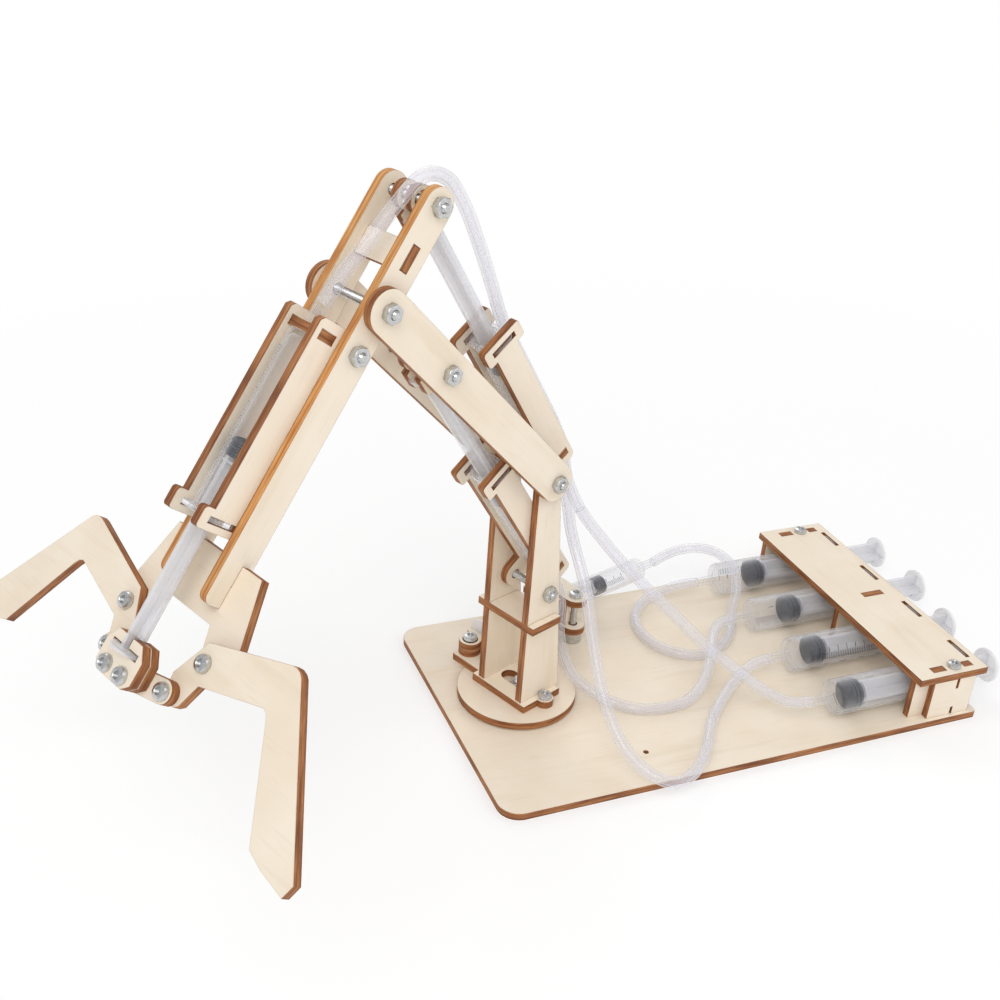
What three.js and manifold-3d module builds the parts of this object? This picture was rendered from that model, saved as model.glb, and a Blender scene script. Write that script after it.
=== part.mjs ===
// Desktop hydraulic arm kit of laser-cut plywood, worked by four pairs of syringes.
// Millimetres, +Z up. Origin at the centre of the base board's underside, +X towards the syringe rack.
import * as THREE from "three";
import { mergeVertices } from "three/addons/utils/BufferGeometryUtils.js";
import Module from "manifold-3d";

const wasm = await Module();
wasm.setup();

// Sheet and hardware
const PLY = 3;
const GAP = 0.3;
const BOLT_RADIUS = 1.5;
const HOLE_RADIUS = 1.8;
const LOOSE_EYE_RADIUS = 3;
const LOOSE_LINK_RADIUS = 2.6;
const HEAD_RADIUS = 2.75;
const HEAD_HEIGHT = 1.9;
const NUT_RADIUS = 3.1;
const NUT_HEIGHT = 2.4;

// Base board and syringe rack
const BASE = { length: 202, width: 118, leftRadius: 8, rightRadius: 1.5 };
const CORNER_HOLE = { x: -38, y: -42.1, radius: 1 };
const RACK = { x0: 70.4, x1: 102.2, y: 1.1, length: 117, top: 22.9 };
const RACK_PITCH = 29.7;
const FLANGE_SLOT = { x0: 97.9, x1: 99.7, length: 12 };
const WALL = { inner: [70.8, 97.2], outer: [77.6, 97.2], middle: [73, 97.2] };
const WALL_TABS = [[78.5, 84.5], [93.2, 97.2]];
const MIDDLE_TAB = [85, 94.6];
const NUT_SLOT = { stem: 1.8, pocket: 3.1, deep: 7 };
const KEY_SLOT = { stem: 0.6, pocket: 0.6, deep: 4.5 };
const RACK_SCREW_X = 89;

// Master syringes, far to near: the x of the stopper and of the thumb rest
const MASTER = { outer: 7, inner: 6.2, axisZ: 11.45, shoulder: 41, flange: 98.05, rib: 10.6, thumb: 7 };
const MASTER_STOPS = [57.8, 57.3, 50, 47.3];
const MASTER_ROD = 68;
const MASTER_NAMES = ["swivel", "shoulder", "elbow", "gripper"];

// Slave syringes and their wooden holders, measured along the syringe from the tail slot
const SLAVE = { outer: 4.9, inner: 4.1, shoulder: 1.8, flange: 58.1, rib: 6.8, thumb: 6 };
const AXIS_OFFSET = 9.8;
const CHEEK = { y0: 5.2, half: 5, headHalf: 8.5, head0: 55.5, head1: 62, tail: -4.5 };
const EAR_BAR = { x0: 1.9, x1: 3.9, z0: 0.6, z1: 4 };
const WIDE_RIB_SETBACK = 3.9;
const EAR_RADIUS = 4.9;
const CLAMP_REACH = 6.5;

// Clear tubes between the syringes
const TUBE = { radius: 2.2, step: 9, sides: 8 };

// Arm: heights are above the base board's top face, x is forwards
const TURNTABLE = { x: -71, y: 4.3, turn: 202.2, radius: 23 };
const SHOULDER = { x: 4.3, z: 100.6 };
const LOWER_PIN = { x: 0.1, z: 52.6 };
const BOOM = { length: 110.2, angle: 45.4, half: 6.9, y0: 11.8, midPin: 75.7 };
const FOREARM = { angle: -52.8, elbow: 32.85, tip: 128, half: 5.5, y0: 8.5, sideBolt: 47.5 };
const TOWER = { y0: 8.5, rear: -10.5, topRadius: 5.2, foot: 7, midPlateTop: 42, screw: { x: -0.5, y: 14.4 } };
const SWIVEL_POST = { x: -44.6, y: -12.4, axisZ: 13.1, ear: 49 };
const LEVER_PIN = { x: 1.5, y: -25.5 };

const radians = (degrees) => (degrees * Math.PI) / 180;

const looks = {
  ply: new THREE.MeshStandardMaterial({ color: 0xeadcc0, roughness: 0.75 }),
  steel: new THREE.MeshStandardMaterial({ color: 0xb9bcc0, roughness: 0.35, metalness: 0.9 }),
  clear: new THREE.MeshStandardMaterial({ color: 0xdfe6ea, roughness: 0.2 }),
  rod: new THREE.MeshStandardMaterial({ color: 0xe9ecec, roughness: 0.4 }),
  tube: new THREE.MeshStandardMaterial({ color: 0xe4e8e4, roughness: 0.25 }),
};

// Solids -------------------------------------------------------------------

function toSolid(geometry) {
  const bare = geometry.index ? geometry.toNonIndexed() : geometry.clone();
  bare.deleteAttribute("normal");
  bare.deleteAttribute("uv");
  const merged = mergeVertices(bare, 1e-4);
  const vertProperties = merged.attributes.position.array;
  const triVerts = new Uint32Array(merged.index.array);
  return new wasm.Manifold(new wasm.Mesh({ numProp: 3, vertProperties, triVerts }));
}

function toGeometry(solid) {
  const { vertProperties, triVerts } = solid.getMesh();
  const geometry = new THREE.BufferGeometry();
  geometry.setAttribute("position", new THREE.BufferAttribute(vertProperties, 3));
  geometry.setIndex(new THREE.BufferAttribute(triVerts, 1));
  return geometry;
}

const join = (first, ...others) =>
  toGeometry(others.reduce((sum, other) => sum.add(toSolid(other)), toSolid(first)));

const cut = (first, ...tools) =>
  toGeometry(tools.reduce((rest, tool) => rest.subtract(toSolid(tool)), toSolid(first)));

function box(x0, x1, y0, y1, z0, z1) {
  const geometry = new THREE.BoxGeometry(x1 - x0, y1 - y0, z1 - z0);
  return geometry.translate((x0 + x1) / 2, (y0 + y1) / 2, (z0 + z1) / 2);
}

// Plates: level (outline in x, y), upright (outline in x, z) and across (outline in y, z).
function level(shape, z0, thickness = PLY, curveSegments = 10) {
  return new THREE.ExtrudeGeometry(shape, { depth: thickness, bevelEnabled: false, curveSegments })
    .translate(0, 0, z0);
}

function upright(shape, y0, thickness = PLY, curveSegments = 10) {
  return level(shape, 0, thickness, curveSegments).rotateX(Math.PI / 2).translate(0, y0 + thickness, 0);
}

function across(shape, x0, thickness = PLY, curveSegments = 10) {
  return level(shape, x0, thickness, curveSegments).rotateX(Math.PI / 2).rotateZ(Math.PI / 2);
}

function outline(points) {
  return new THREE.Shape(points.map(([x, y]) => new THREE.Vector2(x, y)));
}

function rectangle(x0, x1, y0, y1) {
  return outline([[x0, y0], [x1, y0], [x1, y1], [x0, y1]]);
}

function disc(x, y, radius) {
  return new THREE.Shape().absarc(x, y, radius, 0, 2 * Math.PI, false);
}

function withHoles(shape, ...holes) {
  shape.holes.push(...holes);
  return shape;
}

// Round piece about X from [radius, x] pairs.
function turned(profile, segments = 20) {
  return new THREE.LatheGeometry(profile.map(([r, x]) => new THREE.Vector2(r, x)), segments)
    .rotateZ(-Math.PI / 2);
}

// Bolt along Y: head on the +y side, nut on the -y side, each standing clear of the plates.
function boltAcross(half, headEnd = half + GAP, nutEnd = -half - GAP) {
  const profile = [
    [0, nutEnd - NUT_HEIGHT - 1],
    [BOLT_RADIUS, nutEnd - NUT_HEIGHT - 1],
    [BOLT_RADIUS, headEnd],
    [HEAD_RADIUS, headEnd],
    [HEAD_RADIUS, headEnd + HEAD_HEIGHT * 0.6],
    [HEAD_RADIUS * 0.6, headEnd + HEAD_HEIGHT],
    [0, headEnd + HEAD_HEIGHT],
  ];
  const shank = new THREE.LatheGeometry(profile.map(([r, y]) => new THREE.Vector2(r, y)), 12);
  const nut = new THREE.CylinderGeometry(NUT_RADIUS, NUT_RADIUS, NUT_HEIGHT, 6)
    .translate(0, nutEnd - NUT_HEIGHT / 2, 0);
  return join(shank, nut);
}

// The same bolt standing along Z, head up, its shank reaching down to z0.
function boltUp(z0, headZ) {
  const profile = [
    [0, z0],
    [BOLT_RADIUS, z0],
    [BOLT_RADIUS, headZ],
    [HEAD_RADIUS, headZ],
    [HEAD_RADIUS, headZ + HEAD_HEIGHT * 0.6],
    [HEAD_RADIUS * 0.6, headZ + HEAD_HEIGHT],
    [0, headZ + HEAD_HEIGHT],
  ];
  return new THREE.LatheGeometry(profile.map(([r, z]) => new THREE.Vector2(r, z)), 12).rotateX(Math.PI / 2);
}

const nutUp = (z0) =>
  new THREE.CylinderGeometry(NUT_RADIUS, NUT_RADIUS, NUT_HEIGHT, 6)
    .rotateX(Math.PI / 2)
    .translate(0, 0, z0 + NUT_HEIGHT / 2);

function add(parent, name, geometry, look) {
  const mesh = new THREE.Mesh(geometry, look);
  mesh.name = name;
  parent.add(mesh);
  return mesh;
}

function frameAt(parent, x, y, z, turnAboutY = 0) {
  const frame = new THREE.Group();
  frame.position.set(x, y, z);
  frame.rotation.y = turnAboutY;
  parent.add(frame);
  return frame;
}

// Syringes -------------------------------------------------------------------

function barrel(size, length, [flangeY, flangeZ], axisZ) {
  const end = size.shoulder + length;
  const body = turned([
    [0, size.shoulder - 9],
    [1.7, size.shoulder - 9],
    [2.1, size.shoulder],
    [size.outer, size.shoulder],
    [size.outer, end],
    [size.inner, end],
    [size.inner, size.shoulder + 1.5],
    [0, size.shoulder + 1.5],
  ]);
  const wings = across(rectangle(-flangeY, flangeY, -flangeZ, flangeZ), end - 1.4, 1.4);
  const bore = across(disc(0, 0, (size.outer + size.inner) / 2), end - 3, 6, 12);
  return join(cut(wings, bore), body).translate(0, 0, axisZ);
}

function rod(size, stopper, thumb) {
  const seal = turned([
    [0, stopper - 1.5],
    [size.inner - 0.25, stopper],
    [size.inner - 0.25, stopper + 5],
    [0, stopper + 5],
  ], 16);
  const rib = size.rib / 2;
  const tallRib = box(stopper + 4, thumb + 1, -0.8, 0.8, -rib, rib);
  const wideRib = box(stopper + 4, thumb - WIDE_RIB_SETBACK, -rib, rib, -0.8, 0.8);
  const rest = turned([[0, thumb], [size.thumb, thumb], [size.thumb, thumb + 1.4], [0, thumb + 1.4]], 20);
  return [seal, tallRib, wideRib, rest];
}

// Wooden holder: two cheeks joined by the cross plate that the nozzle passes through. Where the
// ear is halfway along, the cheeks start at the ear and a narrow bar beside the pin joins them.
function holder(ear) {
  const half = ear > EAR_RADIUS;
  const side = CHEEK;
  const low = AXIS_OFFSET - side.half;
  const high = AXIS_OFFSET + side.half;
  const shape = new THREE.Shape();
  shape.moveTo(half ? ear - EAR_RADIUS : side.tail, high);
  if (!half) shape.lineTo(side.tail, low);
  shape.lineTo(ear - EAR_RADIUS, low);
  shape.lineTo(ear - EAR_RADIUS, 0);
  shape.absarc(ear, 0, EAR_RADIUS, Math.PI, 2 * Math.PI, false);
  shape.lineTo(ear + EAR_RADIUS, low);
  shape.lineTo(side.head0, low);
  shape.lineTo(side.head0, AXIS_OFFSET - side.headHalf);
  shape.lineTo(side.head1, AXIS_OFFSET - side.headHalf);
  shape.lineTo(side.head1, AXIS_OFFSET + side.headHalf);
  shape.lineTo(side.head0, AXIS_OFFSET + side.headHalf);
  shape.lineTo(side.head0, high);
  const slot = rectangle(57.8, 59.8, AXIS_OFFSET - 5.3, AXIS_OFFSET + 5.3);
  withHoles(shape, disc(ear, 0, HOLE_RADIUS), slot);
  const near = upright(shape, side.y0, PLY, 6);
  const far = upright(shape, -side.y0 - PLY, PLY, 6);
  const reach = side.y0 + PLY;
  const across0 = withHoles(
    rectangle(-reach, reach, AXIS_OFFSET - 3, AXIS_OFFSET + 3),
    disc(0, AXIS_OFFSET, 2.4),
  );
  const bar = box(ear + EAR_BAR.x0, ear + EAR_BAR.x1, -side.y0 - 1, side.y0 + 1, EAR_BAR.z0, EAR_BAR.z1);
  const link = half ? bar : across(across0, -PLY / 2, PLY, 6);
  return join(near, far, link).translate(-ear, 0, 0);
}

// Clamp layers round the plunger's thumb rest, with an eye for the pin at pinX.
function clamp(pinX, layers) {
  return layers.map((y0) => {
    const shape = new THREE.Shape();
    shape.moveTo(pinX - CLAMP_REACH - 3.4, 5.4);
    shape.lineTo(pinX - CLAMP_REACH - 3.4, -5.4);
    shape.lineTo(pinX - 3, -5.4);
    shape.absarc(pinX, 0, 4.4, radians(235), radians(125), false);
    shape.lineTo(pinX - 3, 5.4);
    withHoles(shape, disc(pinX, 0, LOOSE_EYE_RADIUS));
    return upright(shape, y0, PLY, 8);
  });
}

function addSlave(parent, name, { ear, stopper, pinX, layers, thumb }) {
  add(parent, `${name}_holder`, holder(ear), looks.ply);
  const length = SLAVE.flange + 1.4 - SLAVE.shoulder;
  const body = barrel(SLAVE, length, [8.4, 5.1], AXIS_OFFSET).translate(-ear, 0, 0);
  add(parent, `${name}_barrel`, body, looks.clear);
  const end = pinX === undefined ? thumb : pinX - CLAMP_REACH;
  const pieces = rod(SLAVE, stopper - ear, end);
  if (pinX !== undefined) pieces.push(...clamp(pinX, layers));
  add(parent, `${name}_plunger`, join(...pieces).translate(0, 0, AXIS_OFFSET), looks.rod);
}

// Base and rack ----------------------------------------------------------------

const kit = new THREE.Group();
kit.name = "hydraulic_arm_kit";

const slotYs = [1.5, 0.5, -0.5, -1.5].map((k) => RACK.y + k * RACK_PITCH);

function flangeSlots() {
  const half = FLANGE_SLOT.length / 2;
  return slotYs.map((y) => rectangle(FLANGE_SLOT.x0, FLANGE_SLOT.x1, y - half, y + half));
}

function baseBoard() {
  const x = BASE.length / 2;
  const y = BASE.width / 2;
  const { leftRadius: left, rightRadius: right } = BASE;
  const shape = new THREE.Shape();
  shape.moveTo(-x + left, -y);
  shape.lineTo(x - right, -y);
  shape.absarc(x - right, -y + right, right, -Math.PI / 2, 0, false);
  shape.lineTo(x, y - right);
  shape.absarc(x - right, y - right, right, 0, Math.PI / 2, false);
  shape.lineTo(-x + left, y);
  shape.absarc(-x + left, y - left, left, Math.PI / 2, Math.PI, false);
  shape.lineTo(-x, -y + left);
  shape.absarc(-x + left, -y + left, left, Math.PI, 1.5 * Math.PI, false);
  const hole = disc(CORNER_HOLE.x, CORNER_HOLE.y, CORNER_HOLE.radius);
  return level(withHoles(shape, hole, ...flangeSlots()), 0, PLY, 6);
}

// The turntable's pivot screw and the swivel cylinder's post stand on the board.
function basePosts() {
  const pivot = join(
    new THREE.CylinderGeometry(BOLT_RADIUS, BOLT_RADIUS, 8.4, 12).rotateX(Math.PI / 2).translate(0, 0, 6.7),
    nutUp(PLY + 4 + GAP),
  ).translate(TURNTABLE.x, TURNTABLE.y, 0);
  const turn = radians(TURNTABLE.turn);
  const postX = TURNTABLE.x + SWIVEL_POST.x * Math.cos(turn) - SWIVEL_POST.y * Math.sin(turn);
  const postY = TURNTABLE.y + SWIVEL_POST.x * Math.sin(turn) + SWIVEL_POST.y * Math.cos(turn);
  const spacer = new THREE.CylinderGeometry(4, 4, 4.8, 16).rotateX(Math.PI / 2).translate(0, 0, 5.2);
  const post = join(boltUp(2.5, PLY + SWIVEL_POST.axisZ + 8.5), spacer).translate(postX, postY, 0);
  return [pivot, post];
}

function rackTop() {
  const half = RACK.length / 2;
  const holes = flangeSlots();
  const clearance = 0.15;
  for (const side of [-1, 1]) {
    const y0 = RACK.y + side * (half - PLY * 1.5);
    holes.push(disc(RACK_SCREW_X, y0, HOLE_RADIUS));
    for (const [x0, x1] of WALL_TABS) {
      const width = PLY / 2 + clearance;
      holes.push(rectangle(x0 - clearance, x1 + clearance, y0 - width, y0 + width));
    }
  }
  const [m0, m1] = MIDDLE_TAB;
  const width = PLY / 2 + clearance;
  holes.push(rectangle(m0 - clearance, m1 + clearance, RACK.y - width, RACK.y + width));
  const shape = rectangle(RACK.x0, RACK.x1, RACK.y - half, RACK.y + half);
  return level(withHoles(shape, ...holes), RACK.top - PLY, PLY, 6);
}

// End wall with tabs up through the rack's top plate. The inner walls have T-slots for captive
// nuts, and the outer ones narrow keyways.
function rackWall([x0, x1], tabs, slots) {
  const under = RACK.top - PLY;
  const points = [[x0, PLY], [x1, PLY], [x1, under]];
  for (const [t0, t1] of [...tabs].reverse()) points.push([t1, under], [t1, RACK.top], [t0, RACK.top], [t0, under]);
  points.push([x0, under]);
  let wall = upright(outline(points), 0);
  if (slots) {
    const x = RACK_SCREW_X;
    const stem = (z0, z1) => box(x - slots.stem, x + slots.stem, -1, 4, z0, z1);
    const pocket = (z0, z1) => box(x - slots.pocket, x + slots.pocket, -1, 4, z0, z1);
    wall = cut(wall, stem(under - slots.deep, under + 1), pocket(under - slots.deep + 1.5, under - 2.5));
    wall = cut(wall, stem(PLY - 1, PLY + slots.deep - 1), pocket(PLY + 2, PLY + slots.deep - 2.3));
  }
  return wall;
}

function addRack() {
  const half = RACK.length / 2;
  const under = RACK.top - PLY;
  add(kit, "rack_top_plate", rackTop(), looks.ply);
  for (const [side, label] of [[-1, "near"], [1, "far"]]) {
    const innerY = RACK.y + side * (half - PLY * 1.5) - PLY / 2;
    const outerY = innerY + side * PLY;
    const inner = rackWall(WALL.inner, WALL_TABS, NUT_SLOT).translate(0, innerY, 0);
    const outer = rackWall(WALL.outer, [], KEY_SLOT).translate(0, outerY, 0);
    add(kit, `rack_wall_${label}_inner`, inner, looks.ply);
    add(kit, `rack_wall_${label}_outer`, outer, looks.ply);
    const shank = boltUp(under - 6.5, RACK.top);
    const nut = box(-2.8, 2.8, -1.4, 1.4, under - 5.2, under - 2.8);
    const screw = join(shank, nut).translate(RACK_SCREW_X, innerY + PLY / 2, 0);
    add(kit, `rack_screw_${label}`, screw, looks.steel);
  }
  const middle = rackWall(WALL.middle, [MIDDLE_TAB]).translate(0, RACK.y - PLY / 2, 0);
  add(kit, "rack_middle_wall", middle, looks.ply);
}

function addMasters() {
  MASTER_NAMES.forEach((name, index) => {
    const frame = frameAt(kit, 0, slotYs[index], 0);
    const length = MASTER.flange + 1.4 - MASTER.shoulder;
    add(frame, `master_${name}_barrel`, barrel(MASTER, length, [5.8, 11.3], MASTER.axisZ), looks.clear);
    const stop = MASTER_STOPS[index];
    const rodGeometry = join(...rod(MASTER, stop, stop + MASTER_ROD)).translate(0, 0, MASTER.axisZ);
    add(frame, `master_${name}_plunger`, rodGeometry, looks.rod);
  });
}

// Turntable and tower ------------------------------------------------------------

function turntableDisc() {
  const plate = level(withHoles(disc(0, 0, TURNTABLE.radius), disc(0, 0, HOLE_RADIUS)), 1, PLY, 24);
  const washer = level(withHoles(disc(0, 0, 7), disc(0, 0, HOLE_RADIUS)), 0.2, 1, 12);
  const screws = [-1, 1].map((side) => boltUp(3, 7 + GAP).translate(TOWER.screw.x, side * TOWER.screw.y, 0));
  return join(plate, washer, ...screws);
}

function towerBase() {
  const front = 10.3;
  const rear = -9;
  const side = 14;
  const ear = 3.4;
  const { x: screwX, y: screwY } = TOWER.screw;
  const tab = { front: 7.3, rear: -6, end: -28.7 };
  const shape = new THREE.Shape();
  shape.moveTo(rear, side);
  shape.lineTo(rear, -side);
  shape.lineTo(tab.rear, -side);
  shape.lineTo(tab.rear, tab.end);
  shape.lineTo(tab.front, tab.end);
  shape.lineTo(tab.front, -side);
  shape.lineTo(front, -side);
  shape.lineTo(front, side);
  shape.lineTo(screwX + ear, side);
  shape.absarc(screwX, screwY, ear, 0, Math.PI, false);
  shape.lineTo(screwX - ear, side);
  const oblong = new THREE.Path();
  oblong.absarc(0, 4, 3.3, 0, Math.PI, false);
  oblong.absarc(0, -4, 3.3, Math.PI, 2 * Math.PI, false);
  const screwHoles = [-1, 1].map((end) => disc(screwX, end * screwY, HOLE_RADIUS));
  withHoles(shape, oblong, ...screwHoles, disc(LEVER_PIN.x, LEVER_PIN.y, HOLE_RADIUS));
  return level(shape, 4, PLY, 8);
}

function towerPlate(y0) {
  const { x, z } = SHOULDER;
  const radius = TOWER.topRadius;
  const shape = new THREE.Shape();
  shape.moveTo(TOWER.rear, TOWER.foot);
  shape.lineTo(x + radius, TOWER.foot);
  shape.lineTo(x + radius, z);
  shape.absarc(x, z, radius, 0, radians(174), false);
  withHoles(shape, disc(x, z, HOLE_RADIUS), disc(LOWER_PIN.x, LOWER_PIN.z, HOLE_RADIUS));
  const notch = box(2.5, 12, y0 - 1, y0 + PLY + 1, TOWER.midPlateTop - PLY - 0.1, TOWER.midPlateTop + 0.1);
  return cut(upright(shape, y0), notch);
}

function middlePlate() {
  const reach = 14.4;
  const plate = box(-5, 9.5, -reach, reach, TOWER.midPlateTop - PLY, TOWER.midPlateTop);
  const notch = (y0) => box(-6, 2.6, y0 - 0.1, y0 + PLY + 0.1, 0, 60);
  return cut(plate, notch(TOWER.y0), notch(-TOWER.y0 - PLY));
}

const towerHalf = TOWER.y0 + PLY;
const boomHalf = BOOM.y0 + PLY;

const arm = frameAt(kit, TURNTABLE.x, TURNTABLE.y, PLY);
arm.rotation.z = radians(TURNTABLE.turn);

function addTower() {
  add(arm, "turntable_disc", turntableDisc(), looks.ply);
  add(arm, "tower_base_plate", towerBase(), looks.ply);
  add(arm, "tower_plate_near", towerPlate(TOWER.y0), looks.ply);
  add(arm, "tower_plate_far", towerPlate(-TOWER.y0 - PLY), looks.ply);
  add(arm, "tower_middle_plate", middlePlate(), looks.ply);
  const shoulderBolt = boltAcross(boomHalf).translate(SHOULDER.x, 0, SHOULDER.z);
  add(arm, "shoulder_bolt", shoulderBolt, looks.steel);
  const lowerBolt = boltAcross(towerHalf).translate(LOWER_PIN.x, 0, LOWER_PIN.z);
  add(arm, "lower_cylinder_bolt", lowerBolt, looks.steel);
  const leverBolt = boltUp(4.2, 13 + GAP).translate(LEVER_PIN.x, LEVER_PIN.y, 0);
  add(arm, "lever_bolt", leverBolt, looks.steel);
}

// Boom ----------------------------------------------------------------------------

function boomBar(y0) {
  const { length, half } = BOOM;
  const shape = new THREE.Shape();
  shape.absarc(0, 0, half, radians(90), radians(270), false);
  shape.absarc(length, 0, half, radians(270), radians(450), false);
  withHoles(shape, ...[0, BOOM.midPin, length].map((x) => disc(x, 0, HOLE_RADIUS)));
  return upright(shape, y0);
}

const boom = frameAt(arm, SHOULDER.x, 0, SHOULDER.z, -radians(BOOM.angle));

function addBoom() {
  add(boom, "boom_bar_near", boomBar(BOOM.y0), looks.ply);
  add(boom, "boom_bar_far", boomBar(-BOOM.y0 - PLY), looks.ply);
  add(boom, "boom_middle_bolt", boltAcross(boomHalf).translate(BOOM.midPin, 0, 0), looks.steel);
  add(boom, "elbow_bolt", boltAcross(boomHalf).translate(BOOM.length, 0, 0), looks.steel);
}

// Forearm and gripper: x runs from the rear bolt to the hand, z is up and forwards ----

const boomTurn = radians(BOOM.angle);
const forearmTurn = radians(FOREARM.angle);
const elbow = {
  x: SHOULDER.x + BOOM.length * Math.cos(boomTurn),
  z: SHOULDER.z + BOOM.length * Math.sin(boomTurn),
};
const rearPin = {
  x: elbow.x - FOREARM.elbow * Math.cos(forearmTurn),
  z: elbow.z - FOREARM.elbow * Math.sin(forearmTurn),
};
const forearm = frameAt(arm, rearPin.x, 0, rearPin.z, -forearmTurn);

const PALM = { z0: -4.2, top: 114.5, lap: 121 };
const FINGER_PIN = { x: 141.8, y: 20.2 };
const LINK_PIN = { x: 154.2, y: 14.5 };
const CROSSHEAD_PIN = { x: 156.3, y: 4 };
const CROSS_PLATE = { x0: 12.5, x1: 21.3 };
const LAYER = { finger: -1, link: 2.2, crosshead: 5.4, front: 8.7 };
const THUMB_SLOT = { x: 149.1, half: 6.3, width: 1.8 };

function forearmPlate(y0) {
  const { half, tip } = FOREARM;
  const shape = new THREE.Shape();
  shape.absarc(0, 0, half, radians(90), radians(270), false);
  shape.lineTo(tip - 3, -half);
  shape.absarc(tip - 3, -half + 3, 3, radians(270), radians(360), false);
  shape.lineTo(tip, half - 3);
  shape.absarc(tip - 3, half - 3, 3, 0, radians(90), false);
  const middle = (CROSS_PLATE.x0 + CROSS_PLATE.x1) / 2;
  const slot = rectangle(middle - 4.2, middle + 4.2, -1.6, 1.6);
  withHoles(shape, slot, ...[0, FOREARM.elbow, FOREARM.sideBolt].map((x) => disc(x, 0, HOLE_RADIUS)));
  const lap = box(PALM.lap, tip + 1, y0 - 1, y0 + PLY + 1, PALM.z0 - 0.1, PALM.z0 + PLY + 0.1);
  return cut(upright(shape, y0), lap);
}

function forearmCrossPlate() {
  const body = box(CROSS_PLATE.x0, CROSS_PLATE.x1, -FOREARM.y0 + 0.1, FOREARM.y0 - 0.1, -1.5, 1.5);
  const middle = (CROSS_PLATE.x0 + CROSS_PLATE.x1) / 2;
  const tabs = box(middle - 4, middle + 4, -11.5, 11.5, -1.5, 1.5);
  return join(body, tabs);
}

const mirrored = (points) => [...points, ...points.map(([x, y]) => [x, -y]).reverse()];

function palm() {
  const half = mirrored([
    [133.2, 11.3],
    [138.9, 13.1],
    [147, 16.4],
    [147.6, 21],
    [144, 25.4],
    [138.6, 25.8],
    [134.3, 26.6],
    [PALM.top, 20.8],
  ]);
  const plate = level(outline(half), PALM.z0);
  const lap = (y0) => box(0, PALM.lap + 0.1, y0 - 0.1, y0 + PLY + 0.1, -9, 9);
  const cutPlate = cut(plate, lap(FOREARM.y0), lap(-FOREARM.y0 - PLY));
  const pins = [-1, 1].map((side) =>
    boltUp(PALM.z0 + 1, LAYER.finger + PLY + GAP).translate(FINGER_PIN.x, side * FINGER_PIN.y, 0),
  );
  return join(cutPlate, ...pins);
}

function finger(side) {
  const points = [
    [136.2, 17.9],
    [127.2, 48.6],
    [127.4, 52],
    [129.6, 54.4],
    [170.2, 84],
    [174.6, 82.6],
    [173.2, 72.6],
    [171.2, 66],
    [143.4, 50],
    [140.9, 47],
    [147.7, 22.3],
    [155.5, 19.3],
    [157.4, 15.6],
    [155.2, 11.6],
    [149, 11],
  ].map(([x, y]) => [x, side * y]);
  const shape = withHoles(outline(points), disc(FINGER_PIN.x, side * FINGER_PIN.y, HOLE_RADIUS));
  const plate = level(shape, LAYER.finger, PLY, 8);
  const pin = boltUp(LAYER.finger + 1, LAYER.link + PLY + GAP).translate(LINK_PIN.x, side * LINK_PIN.y, 0);
  return join(plate, pin);
}

function link(side) {
  const angle = Math.atan2(side * (LINK_PIN.y - CROSSHEAD_PIN.y), LINK_PIN.x - CROSSHEAD_PIN.x);
  const length = Math.hypot(LINK_PIN.x - CROSSHEAD_PIN.x, LINK_PIN.y - CROSSHEAD_PIN.y);
  const shape = new THREE.Shape();
  shape.absarc(0, 0, 3.6, radians(90), radians(270), false);
  shape.absarc(length, 0, 3.6, radians(270), radians(450), false);
  withHoles(shape, disc(0, 0, HOLE_RADIUS), disc(length, 0, LOOSE_LINK_RADIUS));
  return level(shape, LAYER.link, PLY, 8)
    .rotateZ(angle)
    .translate(CROSSHEAD_PIN.x, side * CROSSHEAD_PIN.y, 0);
}

function crosshead(z0) {
  const plate = level(outline(mirrored([[159.4, 6], [157, 9], [150, 9], [146, 6]])), z0);
  const { x, half, width } = THUMB_SLOT;
  const slot = box(x - 0.1, x + width, -half, half, z0 - 1, z0 + PLY + 1);
  const ribNotch = box(140, x + 1, -1.2, 1.2, z0 - 1, z0 + PLY + 1);
  return cut(plate, slot, ribNotch);
}

// The rear crosshead plate carries the links' screws, with heads on the front plate and nuts below.
function rearCrosshead() {
  const nutZ = LAYER.link - GAP - NUT_HEIGHT;
  const screws = [-1, 1].flatMap((side) =>
    [boltUp(nutZ + 0.5, LAYER.front + PLY + GAP), nutUp(nutZ)].map((piece) =>
      piece.translate(CROSSHEAD_PIN.x, side * CROSSHEAD_PIN.y, 0),
    ),
  );
  return join(crosshead(LAYER.crosshead), ...screws);
}

function frontCrosshead() {
  const holes = [-1, 1].map((side) =>
    level(disc(CROSSHEAD_PIN.x, side * CROSSHEAD_PIN.y, HOLE_RADIUS), LAYER.front - 1, PLY + 2, 8),
  );
  return cut(crosshead(LAYER.front), ...holes);
}

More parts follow.
